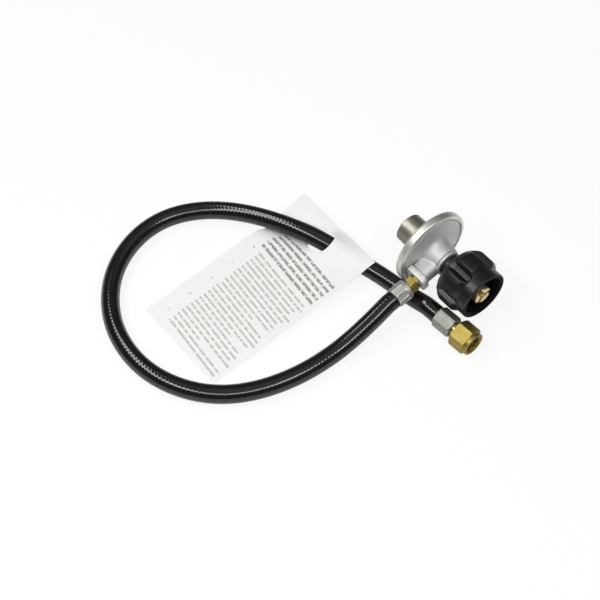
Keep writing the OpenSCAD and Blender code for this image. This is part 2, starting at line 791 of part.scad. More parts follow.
module coupling_nut() {
    step = 360 / pads;
    color("#2b2b2d") difference() {
        union() {
            turned([
                [bush_r, x_nut_rear], [14, x_nut_rear], [recess_r + 0.2, x_nut_rear + 2],
                [band_r + 0.2, x_nut_rear + 3.6], [band_r + 0.2, x_nut_rear + 4.4],
                [recess_r, x_nut_rear + 8], [recess_r, x_band - 0.8], [band_r, x_band + 0.4],
                [band_r, x_mouth - 0.6], [band_r - 0.6, x_mouth], [socket_r + 1.4, x_mouth],
                [socket_r, x_mouth - 1.6], [socket_r, x_nut_inner], [bush_r, x_nut_inner]
            ]);
            intersection() {
                turned([
                    [socket_r + 0.5, x_nut_rear + 2.6], [band_r, x_nut_rear + 2.6],
                    [pad_r - 0.6, x_nut_rear + 7], [pad_r, x_nut_rear + 8.2],
                    [pad_r, x_band - 3.8], [pad_r - 0.5, x_band - 3],
                    [band_r - 0.2, x_band + 0.6], [socket_r + 0.5, x_band + 0.6]
                ]);
                for (i = [0:pads - 1]) rotate([-90 - nut_turn + i * step, 0, 0])
                    translate([x_nut_rear, 0, 0]) rotate([90, 0, 90])
                        linear_extrude(x_mouth - x_nut_rear) pad_sector();
            }
        }
    }
}

// ---------- Hose ends ----------

// Profile points of a hose barb with four teeth, from its root outwards
function barb_points(z0, length, teeth = 4) = [
    for (i = [0:teeth - 1])
        let (z = z0 + length * i / teeth)
        each [[barb_r, z], [barb_r, z + length * 0.04], [barb_root, z + length / teeth]]
];

module hose_adapter() {
    thread_r = outlet_bore_r - run_gap;
    color("#cda24f") at_outlet() difference() {
        union() {
            rotate_extrude() polygon(concat(
                [[0, outlet_reach - 12], [thread_r - 0.4, outlet_reach - 12]],
                [[thread_r, outlet_reach - 11.6], [thread_r, z_hex + 1]],
                [[5.4, z_hex + 1], [5.4, z_collar + 1], [barb_root, z_collar + 1]],
                [[barb_root, z_ferrule + ferrule_wall + 0.4]],
                barb_points(z_ferrule + ferrule_wall + 0.4, ferrule_len - ferrule_wall - 2),
                [[0, z_ferrule_end - 1.6]]
            ));
            translate([0, 0, z_hex]) chamfered_hex(adapter_af, adapter_hex, 30, 0.6);
        }
        translate([0, 0, outlet_reach - 13]) cylinder(d = barb_bore, h = ferrule_len + 40);
    }
}

module ferrule_inlet() {
    r = ferrule_d / 2;
    flat = r - 0.7;
    arch = 2.5;
    color("#bdbbb6") at_outlet() difference() {
        translate([0, 0, z_ferrule]) rotate_extrude() polygon([
            [barb_root + 0.6, 0], [r - 1.3, 0], [r, 1], [r, ferrule_len - 0.4],
            [r - 0.4, ferrule_len], [ferrule_bore_r, ferrule_len],
            [ferrule_bore_r, ferrule_wall], [barb_root + 0.6, ferrule_wall]
        ]);
        for (i = [0:7]) rotate(45 * i) translate([flat, 0, z_ferrule + 4.1 + arch])
            rotate([0, 90, 0]) linear_extrude(3) {
                circle(r = arch, $fn = 48);
                translate([-ferrule_len, -arch]) square([ferrule_len, 2 * arch]);
            }
        translate([0, 0, z_ferrule + 2.6]) rotate([-90, 0, 0]) cylinder(r = 0.8, h = 20, $fn = 32);
    }
}

// The hose's middle line, from inside one ferrule to inside the other
function outlet_point(z) =
    [outlet_x, -z * cos(roll), -z * sin(roll)];

function flare_point(z) =
    flare_pos + z * [cos(flare_yaw), sin(flare_yaw), 0];

module hose() {
    path = concat(
        [outlet_point(z_ferrule + ferrule_wall + 0.2), outlet_point(z_ferrule_end + 0.1)],
        [outlet_point(z_ferrule_end + 0.6), outlet_point(z_ferrule_end + hose_lead)],
        HOSE_ROUTE,
        [flare_point(z_flare_tail - hose_lead * 2), flare_point(z_flare_tail - hose_lead)],
        [flare_point(z_flare_tail - 0.6), flare_point(z_flare_tail - 0.1)],
        [flare_point(z_flare_ferrule - ferrule_wall - 0.2)]
    );
    last = len(path) - 1;
    squeeze = [for (i = [0:last]) i < 2 || i > last - 2 ? crimp_d / 2 : hose_d / 2];
    bore = [for (i = [0:last]) (hose_bore / 2 + run_gap) / cos(180 / HOSE_SIDES)];
    color("#161617") swept_pipe(path, squeeze, bore, HOSE_SIDES);
}

module ferrule_outlet() {
    color("#b7b5af") at_flare() difference() {
        translate([0, 0, z_flare_tail]) chamfered_hex(hex_ferrule_af, hex_ferrule_len, hex_turn, 0.5);
        translate([0, 0, z_flare_tail - 1])
            cylinder(r = ferrule_bore_r, h = hex_ferrule_len - ferrule_wall + 1);
        translate([0, 0, z_flare_tail - 1]) cylinder(r = barb_root + 0.6, h = hex_ferrule_len + 2);
    }
}

module flare_stem() {
    z_head = z_hex_start + flare_wall + gap;
    color("#c99d49") at_flare() difference() {
        rotate_extrude() polygon(concat(
            [[0, z_head + 2.4], [flare_head_r - 0.3, z_head + 2.4]],
            [[flare_head_r, z_head + 2.1], [flare_head_r, z_head]],
            [[flare_neck_r, z_head], [flare_neck_r, z_flare_ferrule]],
            [[barb_root, z_flare_ferrule], [barb_root, z_flare_ferrule - ferrule_wall - 0.4]],
            [for (q = barb_points(ferrule_wall + 0.4, hex_ferrule_len - ferrule_wall - 2))
                [q[0], z_flare_ferrule - q[1]]],
            [[0, z_flare_ferrule - hex_ferrule_len + 1.6]]
        ));
        translate([0, 0, z_flare_tail - 1]) cylinder(d = barb_bore, h = 60);
        translate([0, 0, z_head - 1.6]) cylinder(r1 = barb_bore / 2, r2 = flare_head_r - 0.6, h = 4.01);
    }
}

module flare_nut() {
    color("#cfa452") at_flare() difference() {
        union() {
            translate([0, 0, z_hex_start]) chamfered_hex(flare_af, flare_hex, hex_turn, 1.2);
            translate([0, 0, -flare_collar - 0.5]) cylinder(r = flare_af / 2 - 0.4, h = flare_collar + 0.5);
        }
        translate([0, 0, z_hex_start - 1]) cylinder(r = flare_neck_r + 0.06, h = 5);
        translate([0, 0, z_hex_start + flare_wall]) cylinder(r = flare_bore_d / 2 + 0.3, h = 2.8);
        translate([0, 0, z_hex_start + flare_wall + 1]) cylinder(d = flare_bore_d, h = 30);
        translate([0, 0, -0.8])
            cylinder(r1 = flare_bore_d / 2 - 0.01, r2 = flare_bore_d / 2 + 0.8, h = 0.81);
    }
}

// ---------- Tag ----------

// Height of the tag's middle surface above the floor, at p across and q along from the hole
function tag_height(p, q) =
    let (
        share = (q + tag_l - tag_margin) / tag_l,
        along = p * cos(hose_crossing) + q * sin(hose_crossing),
        off = q * cos(hose_crossing) - p * sin(hose_crossing),
        dip = (dip_h + dip_gain * max(-along - tag_hole_d / 2, 0)) * ease(-along * 2 / tag_hole_d),
        hump = hump_h * ease(along * 2 / tag_hole_d) * exp(-max(along - tag_hole_d / 2, 0) / hump_fade),
        crease = exp(-(off / crease_w) * (off / crease_w))
    )
    tag_foot + tag_lift * share - tag_twist * share * share * p / tag_w * 2 + (hump - dip) * crease;

// Points along a straight edge, without its last point
function edge_points(a, b, n) = [for (i = [0:n - 1]) a + (b - a) * i / n];

module tag() {
    near = tag_margin;
    far = tag_margin - tag_l;
    half = tag_w / 2;
    outline = concat(
        edge_points([half, near], [-half, near], 12),
        edge_points([-half, near], [-half, far], 16),
        edge_points([-half, far], [half, far], 8),
        edge_points([half, far], [half, near], 16)
    );
    sides = len(outline);
    rings = 9;
    plan = [for (j = [0:rings - 1], k = [0:sides - 1])
        let (inner = unit(outline[k]) * tag_hole_d / 2, t = pow(j / (rings - 1), 1.6))
        inner + (outline[k] - inner) * t];
    top = [for (g = plan) [g[0], g[1], tag_height(g[0], g[1]) + tag_t / 2]];
    under = [for (g = plan) [g[0], g[1], tag_height(g[0], g[1]) - tag_t / 2]];
    bottom = rings * sides;
    last = (rings - 1) * sides;
    color("#f2f3f0") translate([TAG_HOLE[0], TAG_HOLE[1], FLOOR]) rotate(tag_turn) polyhedron(
        concat(top, under),
        concat(
            ring_faces(rings, sides, 0, true),
            ring_faces(rings, sides, bottom, false),
            joint_faces(bottom, 0, sides),
            joint_faces(last, bottom + last, sides)
        )
    );
}

// ---------- Assembly ----------

regulator_body();
bonnet();
vent_screen();
tower_cap();
adjusting_screw();
main_spring();
diaphragm();
diaphragm_plate();
diaphragm_stem();
relief_spring();
stem_nut();
lever();
lever_pin();
valve_plunger();
valve_pad();
nozzle();
inlet_probe();
limiter_poppet();
limiter_spring();
thermal_bush();
coupling_nut();
hose_adapter();
ferrule_inlet();
hose();
ferrule_outlet();
flare_stem();
flare_nut();
tag();
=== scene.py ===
"""Gas regulator with its hose, flare nut and tag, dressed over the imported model."""

import math

import bmesh
import bpy
import numpy as np
from mathutils import Matrix, Vector


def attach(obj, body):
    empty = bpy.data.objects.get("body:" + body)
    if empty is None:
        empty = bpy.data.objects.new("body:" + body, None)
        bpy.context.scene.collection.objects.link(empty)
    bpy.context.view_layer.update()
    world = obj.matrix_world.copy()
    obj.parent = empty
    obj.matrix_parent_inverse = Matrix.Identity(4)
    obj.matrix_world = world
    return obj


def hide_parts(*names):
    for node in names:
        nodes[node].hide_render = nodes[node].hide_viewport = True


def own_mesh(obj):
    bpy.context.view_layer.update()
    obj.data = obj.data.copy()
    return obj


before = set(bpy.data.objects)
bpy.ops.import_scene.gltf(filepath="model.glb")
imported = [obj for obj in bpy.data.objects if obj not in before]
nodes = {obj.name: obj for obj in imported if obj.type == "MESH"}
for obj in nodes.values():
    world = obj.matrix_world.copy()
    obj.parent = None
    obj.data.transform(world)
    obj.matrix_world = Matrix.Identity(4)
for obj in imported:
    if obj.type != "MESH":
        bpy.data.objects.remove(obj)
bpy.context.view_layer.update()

MM = 0.001
FLOOR = -32.5

# Stations and radii of the part, in millimetres, as its source has them
ROLL = math.radians(12)
OUTLET_X = -38.0
FLARE_AT = np.array([26.5, -24.4, FLOOR + 20 / math.sqrt(3) + 0.05])
FLARE_YAW = math.radians(4)
HOSE_R = 7.25
NECK_END, NUT_REAR, MOUTH = -31.4, -25.0, 8.0
FERRULE_START, FERRULE_LEN, FERRULE_R = 35.5, 13.8, 8.1
FLARE_HEX_START, FLARE_TAIL, HEX_FERRULE_LEN = -17.0, -36.9, 16.5


# ---------- Frames: an origin and three directions, as rows ----------

REGULATOR = (np.zeros(3), np.array([[0.0, 1, 0], [0, 0, 1], [1, 0, 0]]))
OUTLET_SIDE = [0, -math.sin(ROLL), math.cos(ROLL)]
OUTLET_WAY = [0, -math.cos(ROLL), -math.sin(ROLL)]
OUTLET = (np.array([OUTLET_X, 0.0, 0.0]), np.array([[1.0, 0, 0], OUTLET_SIDE, OUTLET_WAY]))
FLARE_SIDE = [-math.sin(FLARE_YAW), math.cos(FLARE_YAW), 0]
FLARE_WAY = [math.cos(FLARE_YAW), math.sin(FLARE_YAW), 0]
FLARE = (FLARE_AT, np.array([[0.0, 0, -1], FLARE_SIDE, FLARE_WAY]))


def placed(points, where):
    """Local points to the part's frame: the origin plus each coordinate times its direction."""
    return where[0] + points @ where[1]


def on_axis(z, where):
    """The point of a frame's axis at a station."""
    return placed(np.array([0.0, 0.0, z]), where)


# ---------- Camera ----------

AIM = Vector((-0.09428, -0.09484, -0.0325))
TOWARDS = Vector((0.4457, -0.3610, 0.8192))
CAMERA_FAR, LENS, SENSOR = 1.129, 87.18, 36


def put_in_scene(obj):
    """Links an object to the scene and gives it back."""
    bpy.context.scene.collection.objects.link(obj)
    return obj


def facing(obj, at, way):
    """Places a camera or a lamp, which looks along its own -Z, so that it looks along way."""
    obj.location = at
    obj.rotation_mode = "QUATERNION"
    obj.rotation_quaternion = way.to_track_quat("-Z", "Y")


camera = put_in_scene(bpy.data.objects.new("camera", bpy.data.cameras.new("camera")))
facing(camera, AIM + TOWARDS * CAMERA_FAR, -TOWARDS)
camera.data.lens = LENS
camera.data.sensor_width = SENSOR
camera.data.clip_start = 0.05
bpy.context.scene.camera = camera
bpy.context.scene.view_settings.view_transform = "Standard"


# ---------- Shape helpers ----------


def unit(v):
    """Each vector over its own length."""
    return v / np.linalg.norm(v, axis=-1, keepdims=True)


def ease(t):
    """A smooth step: 3t squared less 2t cubed, with t held between 0 and 1."""
    t = np.clip(t, 0, 1)
    return t * t * (3 - 2 * t)


def soft_min(a, b, k):
    """The smaller of two values, with the corner between them rounded over a width k."""
    h = np.clip(0.5 + 0.5 * (b - a) / k, 0, 1)
    return b + (a - b) * h - k * h * (1 - h)


def soft_max(a, b, k):
    """The greater of two values, softened in the same way."""
    return -soft_min(-a, -b, k)


def rounded(corners, radius, step=0.5, closed=True):
    """A profile with each corner swapped for a parabola that starts `radius` before it, or 0.45 of
    the shorter side, and ends as far after it. Sides longer than `step` are cut into even lengths."""
    c = np.asarray(corners, float)
    n = len(c)
    radii = np.broadcast_to(np.asarray(radius, float), (n,))
    out = []
    for i in range(n):
        if not closed and i in (0, n - 1):
            out.append(c[i : i + 1])
            continue
        before, after = c[i - 1] - c[i], c[(i + 1) % n] - c[i]
        lb, la = np.linalg.norm(before), np.linalg.norm(after)
        cut = min(radii[i], 0.45 * lb, 0.45 * la)
        if cut < 1e-4:
            out.append(c[i : i + 1])
            continue
        start, end = c[i] + before / lb * cut, c[i] + after / la * cut
        t = np.linspace(0, 1, max(5, int(cut / step) + 1))[:, None]
        out.append((1 - t) ** 2 * start + 2 * t * (1 - t) * c[i] + t * t * end)
    p = np.concatenate(out)
    ends = np.roll(p, -1, axis=0) if closed else p[1:]
    starts = p if closed else p[:-1]
    pieces = []
    for a, b in zip(starts, ends):
        k = max(1, int(np.ceil(np.linalg.norm(b - a) / step)))
        pieces.append(a + (b - a) * (np.arange(k) / k)[:, None])
    if not closed:
        pieces.append(p[-1:])
    return np.concatenate(pieces)


def shaped(corners, step, closed=False):
    """A rounded profile whose corners each give a radius, a station and their own rounding."""
    c = np.asarray(corners, float)
    return rounded(c[:, :2], c[:, 2], step, closed)


def around(count):
    """Even angles round a circle."""
    return np.arange(count) * (2 * math.pi / count)


def off_nearest(angles, first, step):
    """Angle to the nearest of the directions that start at first and lie step apart."""
    return (angles - first + step / 2) % step - step / 2


def wheel(radius, z, angles):
    """Points (r cos a, r sin a, z). Radius and station are given for each row, or for each point."""
    radius, z = np.asarray(radius, float), np.asarray(z, float)
    radius = radius[:, None] if radius.ndim == 1 else radius
    z = z[:, None] if z.ndim == 1 else z
    return np.stack(np.broadcast_arrays(radius * np.cos(angles), radius * np.sin(angles), z), -1)


def wheels(angles, *profiles):
    """Rows of points for profiles, one after the other, each given as its radii and stations."""
    return np.concatenate([wheel(radius, z, angles) for radius, z in profiles])


def grid_steps(rows, cols, loop_rows, loop_cols):
    """Row and column at which each face of a grid starts."""
    i = np.arange(rows if loop_rows else rows - 1)
    return i[:, None], np.arange(cols if loop_cols else cols - 1)


def grid_faces(rows, cols, loop_rows, loop_cols):
    """Four-cornered faces between neighbouring rows and columns of a grid of points."""
    i, j = grid_steps(rows, cols, loop_rows, loop_cols)
    i2, j2 = (i + 1) % rows, (j + 1) % cols
    return np.stack([i * cols + j, i * cols + j2, i2 * cols + j2, i2 * cols + j], -1).reshape(-1, 4)


def patch(points, loop_rows=False, loop_cols=True, finish=0, uv=None):
    """One grid of points with its faces. finish is one material slot, or one for each face.
    uv is a grid with one more row or column than the points where the grid closes on itself."""
    rows, cols = points.shape[:2]
    faces = grid_faces(rows, cols, loop_rows, loop_cols)
    corner_uv = None
    if uv is not None:
        i, j = grid_steps(rows, cols, loop_rows, loop_cols)
        corner_uv = np.stack([uv[i, j], uv[i, j + 1], uv[i + 1, j + 1], uv[i + 1, j]], 2)
        corner_uv = corner_uv.reshape(-1, 4, 2)
    return {
        "points": points.reshape(-1, 3),
        "faces": faces,
        "finish": np.broadcast_to(np.asarray(finish), (len(faces),)),
        "uv": corner_uv,
    }


WORN_GAIN = 6


def mark_edges(mesh):
    """Writes the attribute worn_edge: how far each point stands above the mean of its neighbours
    along its normal, over the mean length of its edges, smoothed twice over its neighbours, times
    a gain and held between 0 and 1."""
    count = len(mesh.vertices)
    co, normal = np.zeros(count * 3), np.zeros(count * 3)
    mesh.vertices.foreach_get("co", co)
    mesh.vertices.foreach_get("normal", normal)
    co, normal = co.reshape(-1, 3), normal.reshape(-1, 3)
    pair = np.zeros(len(mesh.edges) * 2, np.int64)
    mesh.edges.foreach_get("vertices", pair)
    a, b = pair.reshape(-1, 2).T
    near = np.maximum(np.bincount(a, minlength=count) + np.bincount(b, minlength=count), 1)

    def mean_of(values):
        """Mean of each point's neighbours."""
        return (np.bincount(a, values[b], count) + np.bincount(b, values[a], count)) / near

    mean = np.stack([mean_of(co[:, k]) for k in range(3)], 1)
    length = np.linalg.norm(co[a] - co[b], axis=1)
    span = (np.bincount(a, length, count) + np.bincount(b, length, count)) / near
    proud = np.einsum("ij,ij->i", co - mean, normal) / np.maximum(span, 1e-9)
    for _ in range(2):
        proud = 0.5 * proud + 0.5 * mean_of(proud)
    layer = mesh.attributes.new("worn_edge", "FLOAT", "POINT")
    layer.data.foreach_set("value", np.clip(proud * WORN_GAIN, 0, 1).astype(np.float32))


def build_mesh(name, patches, where=None):
    """A mesh from patches in millimetres: points put in place, seams and poles welded, faces
    turned outwards. Where the patches have a map, it is kept as the layer "along"."""
    points = np.concatenate([p["points"] for p in patches])
    if where is not None:
        points = placed(points, where)
    starts = np.cumsum([0] + [len(p["points"]) for p in patches])
    faces = np.concatenate([p["faces"] + s for p, s in zip(patches, starts)])
    mesh = bpy.data.meshes.new(name)
    mesh.vertices.add(len(points))
    mesh.vertices.foreach_set("co", (points * MM).ravel())
    mesh.loops.add(faces.size)
    mesh.loops.foreach_set("vertex_index", faces.ravel())
    mesh.polygons.add(len(faces))
    mesh.polygons.foreach_set("loop_start", np.arange(0, faces.size, 4))
    finish = np.concatenate([p["finish"] for p in patches])
    mesh.polygons.foreach_set("material_index", finish.astype(np.int32))
    if patches[0]["uv"] is not None:
        layer = mesh.uv_layers.new(name="along")
        uv = np.concatenate([p["uv"] for p in patches])
        layer.data.foreach_set("uv", uv.ravel())
    mesh.update(calc_edges=True)
    work = bmesh.new()
    work.from_mesh(mesh)
    bmesh.ops.remove_doubles(work, verts=work.verts, dist=2e-7)
    bmesh.ops.recalc_face_normals(work, faces=work.faces)
    work.to_mesh(mesh)
    work.free()
    return mesh


def piece(name, patches, body, finishes, node, where=None, sharp=32):
    """Makes a piece of the scene from patches: it rides on its body and stands for a CAD node. Edges
    sharper than `sharp` degrees stay hard, or none do where it is 0."""
    mesh = build_mesh(name, patches, where)
    obj = put_in_scene(bpy.data.objects.new(name, mesh))
    for f in finishes:
        mesh.materials.append(f)
    mesh.polygons.foreach_set("use_smooth", np.ones(len(mesh.polygons), bool))
    if sharp:
        mesh.set_sharp_from_angle(angle=math.radians(sharp))
    mark_edges(mesh)
    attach(obj, body)
    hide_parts(node)
    return obj


# ---------- Hose ----------

RING_STEP, HOSE_SIDES = 1.6, 64
HOSE_ROUTE = [
    (-36.5, -70, -15.6), (-36, -82, -19.3), (-36, -94, -22.5), (-36, -107, -24.7),
    (-36, -122, -25.2), (-37.5, -140, -25.2), (-41, -157, -25.2), (-46, -172, -25.2),
    (-52, -185, -25.2), (-60.5, -197.5, -25.2), (-71, -208, -25.2), (-84, -217, -25.2),
    (-99, -224, -25.2), (-117, -228.5, -25.2), (-138, -228.5, -25.2), (-160, -224, -25.2),
    (-180, -214, -25.2), (-194.5, -203, -25.2), (-205, -191, -25.2), (-213, -178, -25.2),
    (-218.5, -164, -25.2), (-221.5, -150, -25.2), (-221.5, -136, -25.2), (-219, -123.5, -25.2),
    (-214, -112, -25.1), (-207, -101.5, -24.5), (-198.5, -92.5, -23.5), (-189, -85, -22.1),
    (-178, -78, -20.5), (-166.5, -72, -18.7), (-154.5, -67, -17), (-142, -62, -15.8),
    (-130, -57, -15.4), (-119.5, -52.8, -16.6), (-109, -48.5, -19), (-98, -44, -21.6),
    (-85, -38.8, -23.8), (-70, -34.3, -25), (-54, -31.4, -25.2), (-42, -30, -24.8),
    (-32, -28.8, -23.3),
]


def smooth_route(points, step):
    """A centripetal Catmull-Rom curve through the points, cut again into even lengths of step, and
    the way run along it."""
    p = np.asarray(points, float)
    p = np.concatenate([2 * p[:1] - p[1:2], p, 2 * p[-1:] - p[-2:-1]])
    out = []
    for i in range(1, len(p) - 2):
        a, b, c, d = p[i - 1 : i + 3]
        t1 = np.linalg.norm(b - a) ** 0.5
        t2 = t1 + np.linalg.norm(c - b) ** 0.5
        t3 = t2 + np.linalg.norm(d - c) ** 0.5
        t = np.linspace(t1, t2, 24, endpoint=False)[:, None]
        ab = (t1 - t) / t1 * a + t / t1 * b
        bc = (t2 - t) / (t2 - t1) * b + (t - t1) / (t2 - t1) * c
        cd = (t3 - t) / (t3 - t2) * c + (t - t2) / (t3 - t2) * d
        abc = (t2 - t) / t2 * ab + t / t2 * bc
        bcd = (t3 - t) / (t3 - t1) * bc + (t - t1) / (t3 - t1) * cd
        out.append((t2 - t) / (t2 - t1) * abc + (t - t1) / (t2 - t1) * bcd)
    fine = np.concatenate(out + [p[-2:-1]])
    run = np.concatenate([[0], np.cumsum(np.linalg.norm(np.diff(fine, axis=0), axis=1))])
    count = int(round(run[-1] / step))
    even = np.linspace(0, run[-1], count + 1)
    return np.stack([np.interp(even, run, fine[:, k]) for k in range(3)], 1), even


def settled(line, run, spread):
    """The line with each coordinate averaged along it by a bell curve of the given spread. The
    averaging fades in some way from each end, so that the ends stay in their fittings."""
    held, fades_over = 4, 30
    away = run[:, None] - run[None, :]
    out = line.copy()
    fade = ease((np.minimum(run, run[-1] - run) - held) / fades_over)
    for k in range(3):
        weight = np.exp(-0.5 * (away / spread[k]) ** 2)
        mean = weight @ line[:, k] / weight.sum(1)
        out[:, k] += fade * (mean - line[:, k])
    return out


# the hose leaves and ends along its fittings' axes
first_points = [on_axis(z, OUTLET) for z in (48.9, 52, 55.3)]
last_points = [on_axis(z, FLARE) for z in (-48.9, -42.9, -36.5)]
SPREAD = (12.0, 12.0, 6.0)
hose_line, hose_run = smooth_route(first_points + HOSE_ROUTE + last_points, RING_STEP)
hose_line, hose_run = smooth_route(settled(hose_line, hose_run, SPREAD), RING_STEP)


def hose_tube(line, run, radius, sides):
    """A tube about the line. Each ring stands square to the line and level, closed at both ends by
    a ring of no radius. Its map is the way round and the way along, in metres."""
    way = unit(np.gradient(line, axis=0))
    side = unit(np.cross(way, [0.0, 0.0, 1.0]))
    up = np.cross(side, way)
    a = around(sides)
    ring = np.cos(a)[None, :, None] * side[:, None] + np.sin(a)[None, :, None] * up[:, None]
    points = line[:, None] + radius * ring
    first, last = line[:1, None] + 0 * ring[:1], line[-1:, None] + 0 * ring[-1:]
    points = np.concatenate([first, points, last])
    along = np.concatenate([run[:1], run, run[-1:]]) * MM
    turn = np.arange(sides + 1) / sides * 2 * math.pi * radius * MM
    uv = np.stack(np.broadcast_arrays(turn[None, :], along[:, None]), -1)
    return patch(points, uv=uv)


# ---------- Finishes ----------


def link(tree, a, b):
    """Joins an output to an input."""
    tree.links.new(a, b)


def emptied(data):
    """The node tree of a material or a world, with nothing in it yet."""
    data.use_nodes = True
    data.node_tree.nodes.clear()
    return data.node_tree


def effect(name, inputs, outputs):
    """An empty shader node group, as its tree and the sockets of its two ends. It reads a vector
    and the numbers in inputs, each with its default, and puts out the numbers in outputs."""
    tree = bpy.data.node_groups.new(name, "ShaderNodeTree")
    tree.interface.new_socket("Vector", in_out="INPUT", socket_type="NodeSocketVector")
    for label, value in inputs.items():
        socket = tree.interface.new_socket(label, in_out="INPUT", socket_type="NodeSocketFloat")
        socket.default_value = value
    for label in outputs:
        tree.interface.new_socket(label, in_out="OUTPUT", socket_type="NodeSocketFloat")
    return tree, tree.nodes.new("NodeGroupInput").outputs, tree.nodes.new("NodeGroupOutput").inputs


def add(tree, kind, values=(), **settings):
    """A node with its settings, and values or links for its inputs by name or number."""
    n = tree.nodes.new("ShaderNode" + kind)
    for key, value in settings.items():
        setattr(n, key, value)
    for key, value in dict(values).items():
        if isinstance(value, bpy.types.NodeSocket):
            tree.links.new(value, n.inputs[key])
        else:
            n.inputs[key].default_value = value
    return n


def calc(tree, operation, *values, clamp=False):
    """Output of a Math node with its values in order."""
    return add(tree, "Math", dict(enumerate(values)), operation=operation, use_clamp=clamp).outputs[0]


def weighed(tree, a, share, b):
    """a times its share, plus b times the rest."""
    return calc(tree, "MULTIPLY_ADD", a, share, calc(tree, "MULTIPLY", b, 1 - share))


def scaled(tree, vector, by):
    """The vector with each coordinate times its own factor: one under 1 draws a pattern out."""
    return add(tree, "VectorMath", {0: vector, 1: by}, operation="MULTIPLY").outputs[0]


def noise(tree, vector, scale, detail, **values):
    """Value of a noise at a vector."""
    values = {"Vector": vector, "Scale": scale, "Detail": detail, **values}
    return add(tree, "TexNoise", values).outputs["Fac"]


def ramp(tree, value, stops):
    """Colour of a ramp. Each of its stops has a place and a grey, or a place and a colour."""
    node = add(tree, "ValToRGB", {"Fac": value})
    marks = node.color_ramp.elements
    while len(marks) < len(stops):
        marks.new(0.5)
    for mark, (place, colour) in zip(marks, stops):
        mark.position = place
        mark.color = (*colour, 1) if isinstance(colour, tuple) else (colour, colour, colour, 1)
    return node.outputs["Color"]


def cast_skin():
    """Sand-like skin of a casting: fine noise for grain, cells for pits, broad noise for tone."""
    tree, given, out = effect("cast_skin", {"Grain": 900.0}, ("Tone", "Height"))
    at, grain = given["Vector"], given["Grain"]
    fine = noise(tree, at, grain, 5.0, Roughness=0.62)
    cells = add(tree, "TexVoronoi", {"Vector": at, "Scale": grain, "Randomness": 1.0})
    broad = noise(tree, at, 55.0, 4.0, Roughness=0.55)
    pits = ramp(tree, cells.outputs["Distance"], [(0.0, 0.0), (0.22, 1.0)])
    link(tree, calc(tree, "MULTIPLY", fine, pits), out["Height"])
    link(tree, weighed(tree, fine, 0.25, broad), out["Tone"])
    return tree


def turned_rings():
    """Marks of a lathe: noise over the distance from the axis and the way along it, so that it
    runs round the axis, which is the vector's Z."""
    tree, given, out = effect("turned_rings", {"Fineness": 2600.0}, ("Tone", "Height"))
    at = given["Vector"]
    xyz = add(tree, "SeparateXYZ", {0: at}).outputs
    flat = add(tree, "CombineXYZ", {"X": xyz["X"], "Y": xyz["Y"]})
    far = add(tree, "VectorMath", {0: flat.outputs[0]}, operation="LENGTH")
    key = add(tree, "CombineXYZ", {"X": far.outputs["Value"], "Y": xyz["Z"]})
    lines = noise(tree, key.outputs[0], given["Fineness"], 3.0)
    link(tree, lines, out["Height"])
    link(tree, weighed(tree, noise(tree, at, 140.0, 3.0), 0.5, lines), out["Tone"])
    return tree


def drawn_lines():
    """Lines of drawn or brushed metal: noise pulled out 30 times along the vector's Z."""
    tree, given, out = effect("drawn_lines", {"Fineness": 1800.0}, ("Tone", "Height"))
    at = given["Vector"]
    lines = noise(tree, scaled(tree, at, (1.0, 1.0, 0.033)), given["Fineness"], 4.0)
    link(tree, lines, out["Height"])
    link(tree, weighed(tree, lines, 0.5, noise(tree, at, 160.0, 3.0)), out["Tone"])
    return tree


def moulded_grain():
    """Fine leather-like grain of moulded plastic, with scuffs where a stretched noise is high."""
    tree, given, out = effect("moulded_grain", {"Grain": 1500.0}, ("Scuff", "Height"))
    at, grain = given["Vector"], given["Grain"]
    cells = add(tree, "TexVoronoi", {"Vector": at, "Scale": grain}, feature="SMOOTH_F1")
    link(tree, calc(tree, "ADD", cells.outputs["Distance"], noise(tree, at, grain, 3.0)), out["Height"])
    marks = noise(tree, scaled(tree, at, (0.35, 1.0, 0.8)), 260.0, 6.0, Roughness=0.7)
    link(tree, ramp(tree, marks, [(0.52, 0.0), (0.78, 1.0)]), out["Scuff"])
    return tree


def edge_wear():
    """Wear on raised edges: the mesh's worn_edge attribute, broken up by noise."""
    tree, given, out = effect("edge_wear", {"Breakup": 420.0, "Amount": 1.0}, ("Mask",))
    edge = add(tree, "Attribute", attribute_name="worn_edge").outputs["Fac"]
    broken = noise(tree, given["Vector"], given["Breakup"], 5.0)
    patches = ramp(tree, broken, [(0.35, 0.25), (0.62, 1.0)])
    worn = calc(tree, "MULTIPLY", edge, patches)
    link(tree, calc(tree, "MULTIPLY", worn, given["Amount"], clamp=True), out["Mask"])
    return tree


# Bars on the card, with sizes in metres. For heavy and for light ones: how far below the middle of
# the card's hole their rows start, the rows' pitch and number, and half of a bar's weight
HEAVY_BARS = (0.0145, 0.0053, 5, 0.0012)
LIGHT_BARS = (0.0430, 0.0042, 22, 0.00085)
ASKEW, BLOCK_ROWS = 0.08, 5.0
HEAVY_MIDDLE, HEAVY_REACH = 0.005, 0.034
LIGHT_LEFT, LIGHT_RIGHT, RAGGED = -0.0245, 0.040, 0.009
DOT_AT, DOT_R = -0.0318, 0.0008
LIGHT_INK, DOT_INK = 0.62, 0.9
BAR_EDGE, ROWS_EDGE = 0.0005, 0.0001


